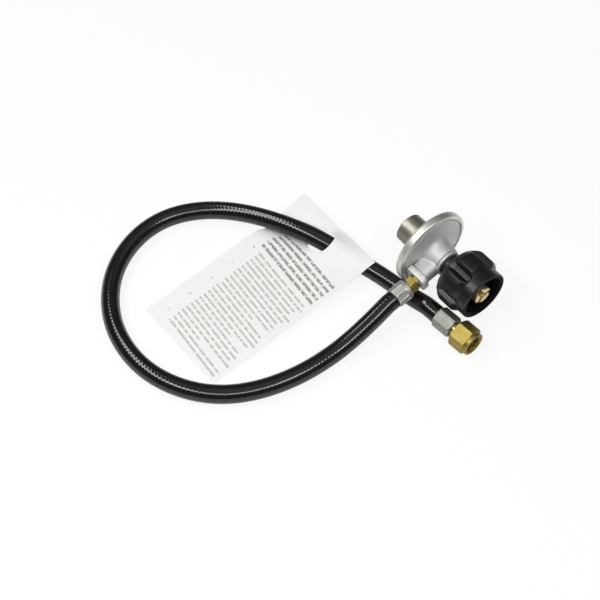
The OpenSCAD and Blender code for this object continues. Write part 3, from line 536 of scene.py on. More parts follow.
def ruled_bars():
    """Plain grey bars on a card: five heavy ones, then blocks of five light ones, the last of each
    block short and a dot before its first. The vector is the place on the card in metres, and rows
    run a little askew: a row's place is y + 0.08 x, less than 0 below the hole. Within a row, a bar
    covers the points nearer to its middle than half its weight, softened."""
    tree, given, out = effect("ruled_bars", {}, ("Ink",))
    xyz = add(tree, "SeparateXYZ", {0: given["Vector"]}).outputs
    x, y = xyz["X"], xyz["Y"]

    def number(operation, *values):
        """Output of a Math node of this group."""
        return calc(tree, operation, *values)

    def product(first, *others):
        """All of the values multiplied, from the first on."""
        for other in others:
            first = calc(tree, "MULTIPLY", first, other)
        return first

    def below(value, limit, soft):
        """1 where value is under limit, 0 above it, over a slope of width soft."""
        return calc(tree, "MULTIPLY_ADD", number("SUBTRACT", limit, value), 1 / soft, 0.5, clamp=True)

    def rows(start, pitch, count, half):
        """Number of the row, way off its middle, share in the rows, and share in the row's bar."""
        turns = number("DIVIDE", number("SUBTRACT", down, start), pitch)
        off = product(number("ABSOLUTE", number("SUBTRACT", number("FRACT", turns), 0.5)), pitch)
        within = product(below(start, down, ROWS_EDGE), below(down, start + count * pitch, ROWS_EDGE))
        return number("FLOOR", turns), off, within, product(within, below(off, half, BAR_EDGE))

    down = product(number("MULTIPLY_ADD", x, ASKEW, y), -1.0)
    heavy = rows(*HEAVY_BARS)[3]
    from_middle = number("ABSOLUTE", number("SUBTRACT", x, HEAVY_MIDDLE))
    heavy = product(heavy, below(from_middle, HEAVY_REACH, BAR_EDGE))

    row, off, within, light = rows(*LIGHT_BARS)
    in_block = number("MODULO", row, BLOCK_ROWS)
    last, first = below(BLOCK_ROWS - 1.5, in_block, 0.1), below(in_block, 0.5, 0.1)
    chance = add(tree, "TexWhiteNoise", {"W": row}, noise_dimensions="1D").outputs["Value"]
    # a bar stops short of the right by chance, and the last of a block by more
    ragged = number("MULTIPLY_ADD", last, 4.0, 0.6)
    end = number("MULTIPLY_ADD", ragged, product(chance, -RAGGED), LIGHT_RIGHT)
    light = product(light, product(below(x, end, BAR_EDGE), below(LIGHT_LEFT, x, BAR_EDGE)))

    across = number("SUBTRACT", x, DOT_AT)
    from_dot = number("SQRT", number("ADD", product(across, across), product(off, off)))
    dot = product(below(from_dot, DOT_R, DOT_R / 2), first, within, DOT_INK)
    light = number("MAXIMUM", product(light, LIGHT_INK), dot)

    # uneven gaps part each bar into dashes, at other places in each half of a row
    half_row = number("FLOOR", number("DIVIDE", down, LIGHT_BARS[1] / 2))
    way = number("MULTIPLY_ADD", half_row, 31.7, product(x, 330.0))
    gaps = add(tree, "TexNoise", {"W": way, "Scale": 1.0, "Detail": 0.0}, noise_dimensions="1D")
    gaps = ramp(tree, gaps.outputs["Fac"], [(0.36, 0.25), (0.42, 1.0)])
    faded = ramp(tree, noise(tree, given["Vector"], 1100.0, 3.0), [(0.35, 0.5), (0.6, 1.0)])
    link(tree, product(number("MAXIMUM", light, heavy), product(faded, gaps)), out["Ink"])
    return tree


SKIN, RINGS, DRAWN = cast_skin(), turned_rings(), drawn_lines()
GRAIN, WEAR, BARS = moulded_grain(), edge_wear(), ruled_bars()


class Finish:
    """A material being made: its tree, its shader, and the place that its patterns read."""

    def __init__(self, name, where=None, **constants):
        self.mat = bpy.data.materials.new(name)
        self.tree = emptied(self.mat)
        values = {key.replace("_", " "): value for key, value in constants.items()}
        self.shader = self.add("BsdfPrincipled", values)
        self.add("OutputMaterial", {0: self.shader.outputs[0]})
        places = self.add("TexCoord").outputs
        self.uv, self.at = places["UV"], places["Object"]
        if where is not None:
            # the mapping turns the frame's third direction to Z and its origin to 0
            axes = Matrix([list(map(float, r)) for r in where[1]])
            turn, shift = axes.to_euler("XYZ"), -(axes @ Vector(where[0] * MM))
            values = {"Vector": self.at, "Rotation": turn, "Location": shift}
            self.at = self.add("Mapping", values, vector_type="POINT").outputs[0]

    def add(self, kind, values=(), **settings):
        return add(self.tree, kind, values, **settings)

    def effect(self, group, **values):
        """What one of the shared effects puts out at the material's place."""
        return self.add("Group", {"Vector": self.at, **values}, node_tree=group).outputs

    def between(self, share, low, high):
        """A value between low and high by share."""
        return self.add("MapRange", {"Value": share, "To Min": low, "To Max": high}).outputs[0]

    def blend(self, share, a, b):
        """A colour between a and b by share."""
        a, b = (c if isinstance(c, bpy.types.NodeSocket) else (*c, 1) for c in (a, b))
        return self.add("Mix", {0: share, 6: a, 7: b}, data_type="RGBA").outputs[2]

    def bump(self, height, depth, **under):
        """The normal of a height times a depth in metres, on top of a Normal where one is given."""
        values = {"Height": height, "Strength": 1.0, "Distance": depth, **under}
        return self.add("Bump", values).outputs[0]

    def made(self, colour, roughness, normal):
        """The material, once its shader is fed."""
        for key, value in (("Base Color", colour), ("Roughness", roughness), ("Normal", normal)):
            link(self.tree, value, self.shader.inputs[key])
        return self.mat


def cast_metal(name, dark, light, rough=(0.3, 0.46), grain=900.0, depth=0.00007):
    """Satin casting: grey metal whose tone and gloss follow the skin, brighter at worn edges."""
    f = Finish(name, Metallic=1.0)
    skin = f.effect(SKIN, Grain=grain)
    worn = f.effect(WEAR, Breakup=300.0, Amount=0.8)
    base = f.blend(f.between(skin["Tone"], -0.35, 1.35), dark, light)
    bright = tuple(min(1.0, c * 1.15) for c in light)
    return f.made(
        colour=f.blend(worn["Mask"], base, bright),
        roughness=f.between(skin["Tone"], rough[1], rough[0]),
        normal=f.bump(skin["Height"], depth),
    )


def bonnet_finish(rim_painted_lit_dark, rim_painted_lit_light, tower_painted_shade_dark, tower_painted_shade_light):
    """Bonnet: one satin casting, painted paler at the rim and dome as painted reflection, and beyond the
    tower's root painted darker and warmer as painted shade, with streaks along the tower whose tone is
    painted reflection."""
    root, past_root = -0.0605, -0.0625
    f = Finish("bonnet_cast_zinc", REGULATOR, Metallic=1.0)
    skin = f.effect(SKIN, Grain=1100.0)
    streaks = f.effect(DRAWN, Fineness=420.0)
    worn = f.effect(WEAR, Breakup=300.0, Amount=0.8)
    station = f.add("SeparateXYZ", {0: f.at}).outputs["Z"]
    beyond = f.add("MapRange", {"Value": station, "From Min": root, "From Max": past_root}).outputs[0]
    # rim and dome: paler tones, painted reflection
    cast = f.blend(f.between(skin["Tone"], -0.35, 1.35), rim_painted_lit_dark, rim_painted_lit_light)
    # tower: darker, warmer tones, painted shade, and the streaks' tone painted reflection
    tower = f.blend(f.between(streaks["Tone"], -0.5, 1.5), tower_painted_shade_dark, tower_painted_shade_light)
    return f.made(
        colour=f.blend(f.between(worn["Mask"], 0.0, 0.7), f.blend(beyond, cast, tower), rim_painted_lit_light),
        roughness=f.between(skin["Tone"], 0.5, 0.36),
        normal=f.bump(skin["Height"], 0.00005),
    )


def marked_metal(name, where, marks, dark, light, rough, worn_gain):
    """Metal whose tone, gloss and height follow one of the groups of marks about the piece's axis.
    Where its edges are worn it is brighter."""
    f = Finish(name, where, Metallic=1.0)
    lines = f.effect(marks)
    worn = f.effect(WEAR, Breakup=500.0, Amount=0.9)
    base = f.blend(f.between(lines["Tone"], -0.3, 1.3), dark, light)
    bright = tuple(min(1.0, c * worn_gain + 0.03) for c in light)
    return f.made(
        colour=f.blend(worn["Mask"], base, bright),
        roughness=f.between(lines["Tone"], rough[1], rough[0]),
        normal=f.bump(lines["Height"], 0.00002),
    )


def turned_metal(name, where, dark, light, rough=(0.14, 0.3)):
    """Bright metal off a lathe, with rings about the piece's axis."""
    return marked_metal(name, where, RINGS, dark, light, rough, 1.12)


def drawn_metal(name, where, dark, light, rough=(0.2, 0.36)):
    """Drawn bar or tube, with lines along the piece's axis."""
    return marked_metal(name, where, DRAWN, dark, light, rough, 1.1)


def moulded(name, colour, worn_colour, rough, specular=0.5):
    """Moulded plastic: near-even colour, greyer at scuffs and worn edges, with a fine grain."""
    f = Finish(name, Specular_IOR_Level=specular)
    skin = f.effect(GRAIN)
    worn = f.effect(WEAR, Breakup=350.0, Amount=0.7)
    scuffed = f.blend(f.between(skin["Scuff"], 0.0, 0.25), colour, worn_colour)
    return f.made(
        colour=f.blend(f.between(worn["Mask"], 0.0, 0.6), scuffed, worn_colour),
        roughness=f.between(skin["Scuff"], *rough),
        normal=f.bump(skin["Height"], 0.00003),
    )


def hose_finish():
    """Black hose cover: close ribs across the hose and a faint lay along it, with dull patches."""
    rib_pitch = 0.0031
    f = Finish("hose_cover_black", Specular_IOR_Level=0.58)
    xyz = f.add("SeparateXYZ", {0: f.uv}).outputs
    lay = calc(f.tree, "MULTIPLY_ADD", xyz["X"], 0.35, xyz["Y"])
    rib = calc(f.tree, "SINE", calc(f.tree, "MULTIPLY", lay, 2 * math.pi / rib_pitch))
    fine = f.effect(GRAIN, Grain=900.0)
    scuffed = f.between(fine["Scuff"], 0.0, 0.35)
    return f.made(
        colour=f.blend(scuffed, (0.0035, 0.0035, 0.003), (0.018, 0.018, 0.016)),
        roughness=f.between(noise(f.tree, f.at, 38.0, 4.0), 0.11, 0.19),
        normal=f.bump(fine["Height"], 0.000006, Normal=f.bump(rib, 0.00002)),
    )


def tag_finish():
    """White coated card with plain grey bars: fine fibres and faint waves in its gloss."""
    f = Finish("tag_card", Specular_IOR_Level=0.4)
    fibre = noise(f.tree, f.uv, 900.0, 5.0, Roughness=0.7)
    cloud = noise(f.tree, f.uv, 26.0, 3.0)
    card = f.blend(cloud, (0.80, 0.81, 0.785), (0.84, 0.85, 0.825))
    f.at = f.uv
    return f.made(
        colour=f.blend(f.effect(BARS)["Ink"], card, (0.16, 0.165, 0.15)),
        roughness=f.between(cloud, 0.42, 0.6),
        normal=f.bump(fibre, 0.00002),
    )


# ---------- The object's own finishes ----------

BRASS = (0.46, 0.37, 0.12), (0.76, 0.64, 0.27)
PLATED = (0.52, 0.52, 0.53), (0.80, 0.80, 0.82)

die_cast = cast_metal("die_cast_zinc", (0.53, 0.545, 0.535), (0.74, 0.75, 0.735), rough=(0.6, 0.72))
# the rim's pale tones are painted reflection, the tower's dark ones painted shade
bonnet_cast = bonnet_finish((0.56, 0.55, 0.52), (0.84, 0.83, 0.79), (0.22, 0.21, 0.18), (0.5, 0.48, 0.4))
pressed_steel = cast_metal(
    "pressed_steel", (0.48, 0.47, 0.45), (0.76, 0.75, 0.72), grain=1600.0, depth=0.00002
)
screen_metal = cast_metal(
    "screen_metal", (0.06, 0.06, 0.055), (0.14, 0.13, 0.12), grain=2500.0, depth=0.00002
)

# paler than the other brass: partly the probe's matte, sandy look, partly painted light for light that the
# lamps don't bring into the hand wheel's mouth
probe_brass_painted_light = turned_metal("probe_brass_painted_light", REGULATOR, (0.62, 0.47, 0.24), (0.95, 0.78, 0.5), (0.4, 0.55))
adapter_brass = turned_metal("adapter_brass", OUTLET, (0.3, 0.22, 0.06), (0.54, 0.42, 0.14), (0.34, 0.46))
seat_brass = turned_metal("flare_seat_brass", FLARE, *BRASS)
turned_brass = turned_metal("inner_brass", REGULATOR, *BRASS)
cap_metal = turned_metal("cap_metal", REGULATOR, (0.36, 0.35, 0.33), (0.6, 0.58, 0.55), (0.25, 0.4))

flare_brass = drawn_metal("flare_brass", FLARE, (0.24, 0.18, 0.045), (0.38, 0.3, 0.09), (0.4, 0.52))
spring_steel = drawn_metal("spring_steel", REGULATOR, *PLATED, (0.2, 0.32))
ferrule_metal = drawn_metal(
    "ferrule_aluminium", OUTLET, (0.34, 0.335, 0.31), (0.56, 0.555, 0.52), (0.46, 0.58)
)
hex_ferrule_metal = drawn_metal(
    "hex_ferrule_aluminium", FLARE, (0.2, 0.197, 0.18), (0.38, 0.375, 0.345), (0.5, 0.62)
)

nut_plastic = moulded(
    "hand_wheel_plastic", (0.0025, 0.0038, 0.0045), (0.017, 0.021, 0.024), (0.32, 0.44), specular=0.46
)
# the socket and its lip reflect almost nothing, so they stay dark: painted shade
socket_painted_shade = moulded(
    "hand_wheel_socket_painted_shade", (0.003, 0.003, 0.003), (0.012, 0.012, 0.012), (0.55, 0.7), specular=0.06
)
bush_plastic = moulded("bush_plastic", (0.004, 0.004, 0.0045), (0.03, 0.03, 0.03), (0.4, 0.5))
rubber = moulded("diaphragm_rubber", (0.016, 0.015, 0.014), (0.05, 0.05, 0.05), (0.6, 0.7))
pad_rubber = moulded("valve_pad_rubber", (0.014, 0.013, 0.013), (0.05, 0.05, 0.05), (0.6, 0.7))
plunger_resin = moulded("plunger_resin", (0.66, 0.62, 0.52), (0.4, 0.37, 0.3), (0.35, 0.5))
# near-black finish for the ferrule's small hole: painted shadow
hole_painted_shadow = moulded("hole_shadow", (0.004, 0.004, 0.004), (0.01, 0.01, 0.01), (0.7, 0.8))
hose_black = hose_finish()
tag_card = tag_finish()


# ---------- Hose and its ends ----------

hose_surface = hose_tube(hose_line, hose_run, HOSE_R, HOSE_SIDES)
hose_cover = piece("hose_cover", [hose_surface], "housing", [hose_black], "hose", sharp=0)


def hexagon(half_flat, turn, angles):
    """Distance from the axis to a hexagon's flats at each angle: half_flat / cos of the angle to
    the nearest flat. turn is the way that one flat faces."""
    return half_flat / np.cos(off_nearest(angles, turn, math.pi / 3))


def hex_angles(turn, between=9, crowding=2.2):
    """Angles crowded about a hexagon's six corners, by a power of the way from each."""
    t = np.linspace(0, 1, between, endpoint=False)
    s = np.concatenate([0.5 * t**crowding, 1 - 0.5 * (1 - t) ** crowding])
    corners = turn + math.pi / 6 + np.arange(6) * math.pi / 3
    return np.sort((corners[:, None] + s[None, :] * math.pi / 3).ravel() % (2 * math.pi))


def hex_cut(outline, flats, half_flat, turn, corner, angles):
    """Radii and stations of a turned outline cut by a hexagon's flats over the span `flats`: there
    the lesser of the two, with the corner between them softened."""
    r, z = outline[:, :1], outline[:, 1]
    flat = hexagon(half_flat, turn, angles)[None, :]
    held = ((z >= flats[0] - 1e-6) & (z <= flats[1] + 1e-6))[:, None]
    return np.where(held, soft_min(r, flat, corner), r), z


def hex_shell(outer, inner, flats, half_flat, turn, corner):
    """A closed hexagonal ring: a turned outer profile cut by the flats, then the inner profile
    back. Profiles are (radius, z), the outer one from low z to high."""
    angles = hex_angles(turn)
    out = rounded(outer, 0.25, 0.7, closed=False)
    back = rounded(inner, 0.1, 1.2, closed=False)
    cut = hex_cut(out, flats, half_flat, turn, corner, angles)
    return patch(wheels(angles, cut, back.T), loop_rows=True)


def thread(low, high, mean, depth, pitch, angles, per_turn=8):
    """Radii and stations of a threaded bore, from its high end to its low end: mean less depth
    times a rounded saw of (z / pitch - angle), which fades in and out at the ends."""
    z = np.linspace(high, low, int((high - low) / pitch * per_turn) + 1)
    saw = (z[:, None] / pitch - angles[None, :] / (2 * math.pi)) % 1
    crest = ease(np.minimum(saw, 1 - saw) * 4 - 0.35)
    fade = ease((z - low) / pitch) * ease((high - z) / (pitch * 0.7))
    return mean - depth * crest * fade[:, None], z


def adapter_patch():
    """Brass adapter: a screw end, a hexagon, and a stem with four barbs, each a short land and a
    slope back down to the stem."""
    start, end, low, high = 15.0, 47.7, 29.4, 34.4
    half_flat, turn = 6.0, math.radians(30)
    bore, screw_r, neck_r, stem_r, barb_r = 2.6, 5.1, 4.6, 3.4, 3.9
    corner = 2 * half_flat / math.sqrt(3)
    outer = [
        (screw_r - 0.4, start), (screw_r, start + 0.4), (screw_r, low - 1.7), (neck_r, low - 1.4),
        (neck_r, low), (corner - 0.7, low), (corner + 0.1, low + 0.5), (corner + 0.1, high - 0.5),
        (corner - 0.7, high), (5.4, high), (5.4, high + 1), (stem_r, high + 1),
    ]
    for z in 37.3 + 2.6 * np.arange(4):
        outer += [(barb_r, z), (barb_r, z + 0.4), (stem_r, z + 2.55)]
    return hex_shell(outer, [(bore, end), (bore, start)], (low, high), half_flat, turn, 0.22)


piece("adapter_hexagon", [adapter_patch()], "housing", [adapter_brass], "hose_adapter", OUTLET)

# both ferrules: room for the hose, the hole in the rear wall for the stem, and that wall
FERRULE_BORE, STEM_HOLE, WALL = 6.95, 4.2, 1.4


def crimped_ferrule():
    """Ferrule with eight crimp flats and a small round hole: a turned tube. Inside a slot shape with
    one round end its radius drops to the flat's distance from the axis over the cosine of the
    angle to the flat's middle."""
    angles = around(352)
    start, end, r_out = FERRULE_START, FERRULE_START + FERRULE_LEN, FERRULE_R
    crimps, crimp_depth, crimp_half, crimp_start = 8, 0.75, 2.45, start + 4.1
    hole_at, hole_r, hole_depth = start + 2.6, 0.8, 1.5
    outer = rounded(
        [(STEM_HOLE, start), (6.8, start), (r_out, start + 1.1), (r_out, end - 0.45),
         (r_out - 0.4, end), (FERRULE_BORE, end)],
        0.5, 0.22, closed=False,
    )
    inner = [(FERRULE_BORE, end), (FERRULE_BORE, start + WALL), (STEM_HOLE, start + WALL)]
    inner = rounded(inner, 0.1, 2.0, closed=False)
    r, z = outer[:, :1], outer[:, 1:]
    a = off_nearest(angles, 0, 2 * math.pi / crimps)[None, :]
    flat_r = (r_out - crimp_depth) / np.cos(a)
    across, round_at = r_out * np.sin(a), crimp_start + crimp_half
    away = np.where(z < round_at, np.hypot(across, z - round_at), np.abs(across)) - crimp_half
    radius = r - ease(0.5 - away / 0.55) * np.maximum(r - flat_r, 0)
    round_way = r_out * off_nearest(angles, math.pi / 2, 2 * math.pi)[None, :]
    from_hole = np.hypot(round_way, z - hole_at)
    radius = radius - hole_depth * ease(0.5 - (from_hole - hole_r) / 0.3)
    points = wheels(angles, (radius, z[:, 0]), inner.T)
    # the floor of the small hole takes the near-black finish: painted shadow
    dark = np.zeros(points.shape[:2], int)
    dark[: len(z)] = from_hole < hole_r - 0.08
    return patch(points, loop_rows=True, finish=dark.ravel())


piece(
    "crimped_ferrule", [crimped_ferrule()], "housing", [ferrule_metal, hole_painted_shadow], "ferrule_inlet", OUTLET
)

# Flare end: both hexagons stand at one angle
HEX_TURN = math.radians(28)
HEX_FERRULE_FLAT, FLARE_FLAT = 7.9, 10.0


def hex_ferrule_patch():
    """Hexagonal ferrule: a collar at the hose, six flats, and a chamfer towards the nut."""
    tail, head = FLARE_TAIL, FLARE_TAIL + HEX_FERRULE_LEN
    corner = 2 * HEX_FERRULE_FLAT / math.sqrt(3)
    outer = [
        (FERRULE_BORE, tail), (7.5, tail), (8.3, tail + 0.35), (corner + 0.1, tail + 1.0),
        (corner + 0.1, head - 1.6), (corner - 0.5, head - 0.75), (corner - 1.5, head),
        (STEM_HOLE, head),
    ]
    inner = [(STEM_HOLE, head - WALL), (FERRULE_BORE, head - WALL), (FERRULE_BORE, tail)]
    return hex_shell(outer, inner, (tail, head), HEX_FERRULE_FLAT, HEX_TURN, 0.9)


hex_ferrule = piece(
    "hex_ferrule", [hex_ferrule_patch()], "housing", [hex_ferrule_metal], "ferrule_outlet", FLARE
)


def flare_nut_patch():
    """Flare nut: chamfered hexagon, round collar, and a threaded bore down to the seat's shoulder."""
    angles = hex_angles(HEX_TURN, 11)
    start, hex_end, collar_r, floor = FLARE_HEX_START, -3.2, 9.6, -14.0
    stem_hole, thread_r, thread_depth, thread_pitch = 5.6, 7.65, 0.62, 1.411
    corner = 2 * FLARE_FLAT / math.sqrt(3)
    outer = rounded(
        [(stem_hole, start), (9.3, start), (corner - 0.9, start), (corner + 0.1, start + 0.75),
         (corner + 0.1, hex_end - 0.75), (corner - 1.1, hex_end), (collar_r, hex_end + 0.05),
         (collar_r, -0.35), (collar_r - 0.35, 0), (thread_r + 0.7, 0), (thread_r, -0.75)],
        0.3, 0.6, closed=False,
    )
    back = rounded([(7.9, -12.8), (7.9, floor), (stem_hole, floor)], 0.1, 1.2, closed=False)
    cut = hex_cut(outer, (start, hex_end + 0.01), FLARE_FLAT, HEX_TURN, 0.3, angles)
    bore = thread(-12.6, -0.75, thread_r, thread_depth, thread_pitch, angles)
    return patch(wheels(angles, cut, bore, back.T), loop_rows=True)


flare_nut_brass = piece(
    "flare_nut_brass", [flare_nut_patch()], "flare_swivel", [flare_brass], "flare_nut", FLARE
)


def flare_seat_patch():
    """Stem with its flare seat: a turned tube with a collar inside the nut, and a shoulder whose
    face is a cone down to the bore at 45 degrees."""
    bore, stem_r, collar_r, shoulder_r, seat = 2.4, 3.9, 5.5, 7.0, -11.5
    outline = rounded(
        [(bore, FLARE_TAIL - 0.1), (stem_r, FLARE_TAIL - 0.1), (stem_r, -20.4), (collar_r, -20.4),
         (collar_r, -13.9), (shoulder_r, -13.9), (shoulder_r, seat - 0.3), (6.6, seat), (6.3, seat),
         (bore, seat - (6.3 - bore))],
        0.15, 0.8,
    )
    return patch(wheels(around(96), outline.T), loop_rows=True)


flare_seat = piece("flare_seat", [flare_seat_patch()], "housing", [seat_brass], "flare_stem", FLARE)


# ---------- Hand wheel ----------


def hand_wheel_patch():
    """Hand wheel: at each angle and station the radius is the greater of the turned base and a grip
    pad, which is the lesser of the pad's own profile and the slope of its two flanks; corners are
    softened. The row of points closes through the threaded socket and the rear wall."""
    angles = around(432)
    rear, mouth = NUT_REAR, MOUTH
    band = mouth - 9
    valley_r, band_r, pad_r, socket_r, hole_r = 19.3, 20.8, 24.0, 16.65, 8.0
    pads, pad_way = 6, math.radians(-90 - 6)
    foot, top = math.radians(24.2), math.radians(17)
    thread_depth, thread_pitch = 0.95, 5.08
    base = shaped(
        [(hole_r, rear, 0), (14, rear, 1), (19.5, rear + 2, 0.8), (21.0, rear + 3.6, 0.5),
         (21.0, rear + 4.4, 0.4), (valley_r, rear + 8, 0.7), (valley_r, band - 0.9, 0.5),
         (band_r, band + 0.5, 0.4), (band_r, mouth - 0.6, 0.5), (band_r - 0.6, mouth, 0.4),
         (socket_r + 1.4, mouth, 0.4), (socket_r, mouth - 1.6, 0)],
        0.34,
    )
    pad = shaped(
        [(15, rear + 1.2, 0), (20.4, rear + 2.6, 0.5), (pad_r - 0.5, rear + 6.8, 1.4),
         (pad_r, rear + 8.2, 0.9), (pad_r, band - 3.9, 0.5), (pad_r - 0.5, band - 3.0, 0.5),
         (20.6, band + 0.6, 0.5), (15, band + 3.0, 0)],
        0.34,
    )
    back = shaped([(socket_r, rear + 5.5, 0), (socket_r, rear + 3, 0.6), (hole_r, rear + 3, 0)], 0.8)
    r, x = base[:, :1], base[:, 1]
    a = np.abs(off_nearest(angles, pad_way, 2 * math.pi / pads))
    flank = valley_r + (pad_r - valley_r) * (foot - a) / (foot - top)
    own = np.interp(x, pad[:, 1], pad[:, 0])[:, None]
    raised = soft_min(own, flank[None, :], 1.1)
    # the pads rise only on the outside, up to the band, and leave the rear face as it is
    outside = (np.arange(len(x)) < np.argmax(x >= band + 2.0))[:, None] & (r > 13.5)
    radius = np.where(outside, soft_max(r, raised, 0.45), r)
    bore = thread(rear + 6, mouth - 1.6, socket_r, thread_depth, thread_pitch, angles, 14)
    points = wheels(angles, (radius, x), bore, back.T)
    # the faces of the socket, from the lip inwards, have the duller finish that reflects almost nothing:
    # painted shade, as dark as the inside
    lip = np.arange(len(points)) >= np.argmax(x >= mouth - 0.02)
    return patch(points, loop_rows=True, finish=np.repeat(lip, len(angles)))


plastics = [nut_plastic, socket_painted_shade]
piece("hand_wheel_grip", [hand_wheel_patch()], "hand_wheel", plastics, "coupling_nut", REGULATOR, sharp=40)

# where the bush's collar ends and the probe's starts
COLLARS_MEET = -20.5


def probe_patch():
    """Inlet probe with its nose cut by three slots into three lobes: a turned profile whose points
    past the slots' floor drop to it where r sin(a), the way across from a slot's middle, is less
    than half the slot's width. The lobes' tips fall off towards the slots as a bell curve."""
    angles = around(540)
    tip, back, collar = 7.4, -36.0, COLLARS_MEET
    stem_r, collar_r, nose_r, bore_r = 5.4, 9, 7.5, 3.2
    slots, slot_way, slot_half, tip_fall = 3, math.radians(117), 1.8, 0.7
    outline = shaped(
        [(1, back, 0), (stem_r, back, 0.2), (stem_r, NECK_END, 0.1), (stem_r + 0.2, NECK_END, 0.1),
         (stem_r + 0.2, collar, 0.1), (collar_r, collar, 0.2), (collar_r, collar + 2.7, 0.2),
         (collar_r - 0.3, collar + 3, 0.2), (nose_r, -14, 0.5), (nose_r, tip, 1.5), (bore_r, tip, 0.5),
         (bore_r, -9.8, 0.1), (1.7, -12, 0.1), (1.7, -19, 0), (1, -19, 0)],
        0.3, closed=True,
    )
    r, x = outline[:, :1], outline[:, 1:]
    a = off_nearest(angles, slot_way, 2 * math.pi / slots)
    across = r * np.abs(np.sin(a))
    slot = ease(0.5 - (across - slot_half) / 0.3)
    into_lobe = np.maximum(across - slot_half, 0)
    fall = tip_fall * np.exp(-((into_lobe / 0.9) ** 2)) * ease((x - tip + 2) / 2)
    station = x - fall - slot * np.maximum(x - fall, 0)
    return patch(wheel(r, station, angles), loop_rows=True)


piece("probe_nose", [probe_patch()], "housing", [probe_brass_painted_light], "inlet_probe", REGULATOR, sharp=50)


def bush_patch():
    """Bush with eight fingers: a turned profile whose radius drops to the root over each slot."""
    angles = around(360)
    front, collar = NUT_REAR - 0.2, COLLARS_MEET
    hole_r, root_r, finger_r, collar_r = 5.65, 8.0, 9.8, 11.5
    # the first finger's middle stands 6 degrees from the part's up
    fingers, finger_way, finger_share = 8, math.radians(96), 0.57
    outline = rounded(
        [(hole_r, NECK_END), (9.0, NECK_END), (finger_r, NECK_END + 1.4), (finger_r, front),
         (root_r - 0.05, front), (root_r - 0.05, collar - 1.4), (collar_r, collar - 1.4),
         (collar_r, collar), (hole_r, collar)],
        0.35, 0.4,
    )
    r, x = outline[:, :1], outline[:, 1]
    step = 2 * math.pi / fingers
    from_finger = np.abs(off_nearest(angles, finger_way, step)) * finger_r
    slot = ease((from_finger - finger_share * finger_r * step / 2) / 0.35 + 0.5)
    depth = np.where(x[:, None] < front + 0.01, np.maximum(r - root_r, 0), 0)
    return patch(wheel(r - slot[None, :] * depth, x, angles), loop_rows=True)


piece("bush_fingers", [bush_patch()], "housing", [bush_plastic], "thermal_bush", REGULATOR)


# ---------- Body ----------

BOSS_X = -39.5
BOSS_HALF_W, BOSS_HALF_H, BOSS_END = 7.8, 7.2, 24.5
OUTLET_AT = math.radians(180 + 12)


def body_patch():
    """Cast body: a turned dish and cone, made greater at each angle and station by the outlet boss.
    There the radius is the lesser of the way to the boss's flat sides, h / |sin a|, and to its end,
    e / cos a. The reach e is even. The half height h falls along an arc towards the boss's two
    edges and steps down in a groove before the flange. Dish and boss meet in a soft maximum. The
    row of points closes through the chamber and the stem's bore."""
    # degrees from the outlet, close together over the boss
    boss_span, rest = np.linspace(-46, 46, 321), np.linspace(46, 314, 162)
    turn = np.radians(np.concatenate([boss_span, rest[1:-1]]))
    angles = OUTLET_AT + turn
    # the boss stands between these stations of the turned skin
    boss_from, boss_to = -50.39, -31.42
    skin = shaped(
        [(31.2, -52.0, 0), (31.2, -50.4, 0.3), (28.3, -50.38, 0.1), (28.25, -49.2, 0.8),
         (14.0, -46.7, 5.2), (11.5, -33.9, 0.6), (10.0, -33.6, 0.1), (10.02, -32.62, 0.1),
         (10.88, -32.6, 0.2), (10.9, -31.42, 0.4), (5.5, NECK_END, 0)],
        0.3,
    )
    before, after = skin[skin[:, 1] < boss_from], skin[skin[:, 1] > boss_to]
    inside = rounded(
        [(5.5, -31.5), (5.5, -36.8), (1.1, -36.8), (1.1, -40.6), (8, -40.6), (8, -47.9), (17.15, -47.9),
         (24.5, -50.6), (24.5, -52.0)],
        0.3, 0.8, closed=False,
    )
    # stations close together at the boss's two edges, as well as the skin's own
    from_end = np.concatenate([[-0.005, 0.005], 0.1 * np.arange(1, 48)])
    x = np.concatenate([skin[:, 1], BOSS_X - BOSS_HALF_W + from_end, BOSS_X + BOSS_HALF_W - from_end])
    x = np.unique(np.round(x[(x >= boss_from) & (x <= boss_to)], 3))
    r = np.interp(x, skin[:, 1], skin[:, 0])[:, None]

    arc = np.where(x < BOSS_X, 2.2, 6.0)
    into = np.clip(np.abs(x - BOSS_X) - (BOSS_HALF_W - arc), 0, arc)
    half = (BOSS_HALF_H - arc + np.sqrt(arc**2 - into**2))[:, None]
    sine = np.maximum(np.abs(np.sin(turn)), 1e-3)[None, :]
    way_out = half / sine * np.cos(turn)[None, :]
    groove_at, groove_depth = 21.0, 1.8
    side = np.maximum(half - groove_depth * ease((way_out - groove_at) / 0.15), 0) / sine
    end = BOSS_END / np.maximum(np.cos(turn), 0.2)[None, :]
    boss = np.minimum(side, end)
    on = (np.abs(x - BOSS_X) < BOSS_HALF_W)[:, None] & (np.abs(turn) < 1.3)[None, :]
    radius = np.where(on, soft_max(r, boss, 1.0), r)
    points = wheels(angles, before.T, (radius, x), after.T, inside.T)
    return patch(placed(points, REGULATOR), loop_rows=True)


def flange_patch():
    """Outlet flange: a rounded rectangle, drawn in a little at both faces, with a round bore."""
    half, aside = np.array([9.5, 7.5]), [-0.75, 0]
    back, face, bore = 22.2, 27.0, 5.2
    outline = rounded(half * [[1, -1], [1, 1], [-1, 1], [-1, -1]], [6.0, 6.0, 3.0, 3.0], 0.4)
    inset = np.array([0.35, 0.1, 0.0, 0.0, 0.1, 0.35])[:, None, None]
    inner = unit(outline) * np.array([bore + 0.4, bore, bore])[:, None, None]
    plan = np.concatenate([outline * (1 - inset / half), inner]) + aside
    z = [back, back + 0.1, back + 0.35, face - 0.35, face - 0.1, face, face, face - 0.4, back]
    z = np.array(z)[:, None] + 0 * plan[..., 0]
    return patch(placed(np.concatenate([plan, z[..., None]], -1), OUTLET), loop_rows=True)


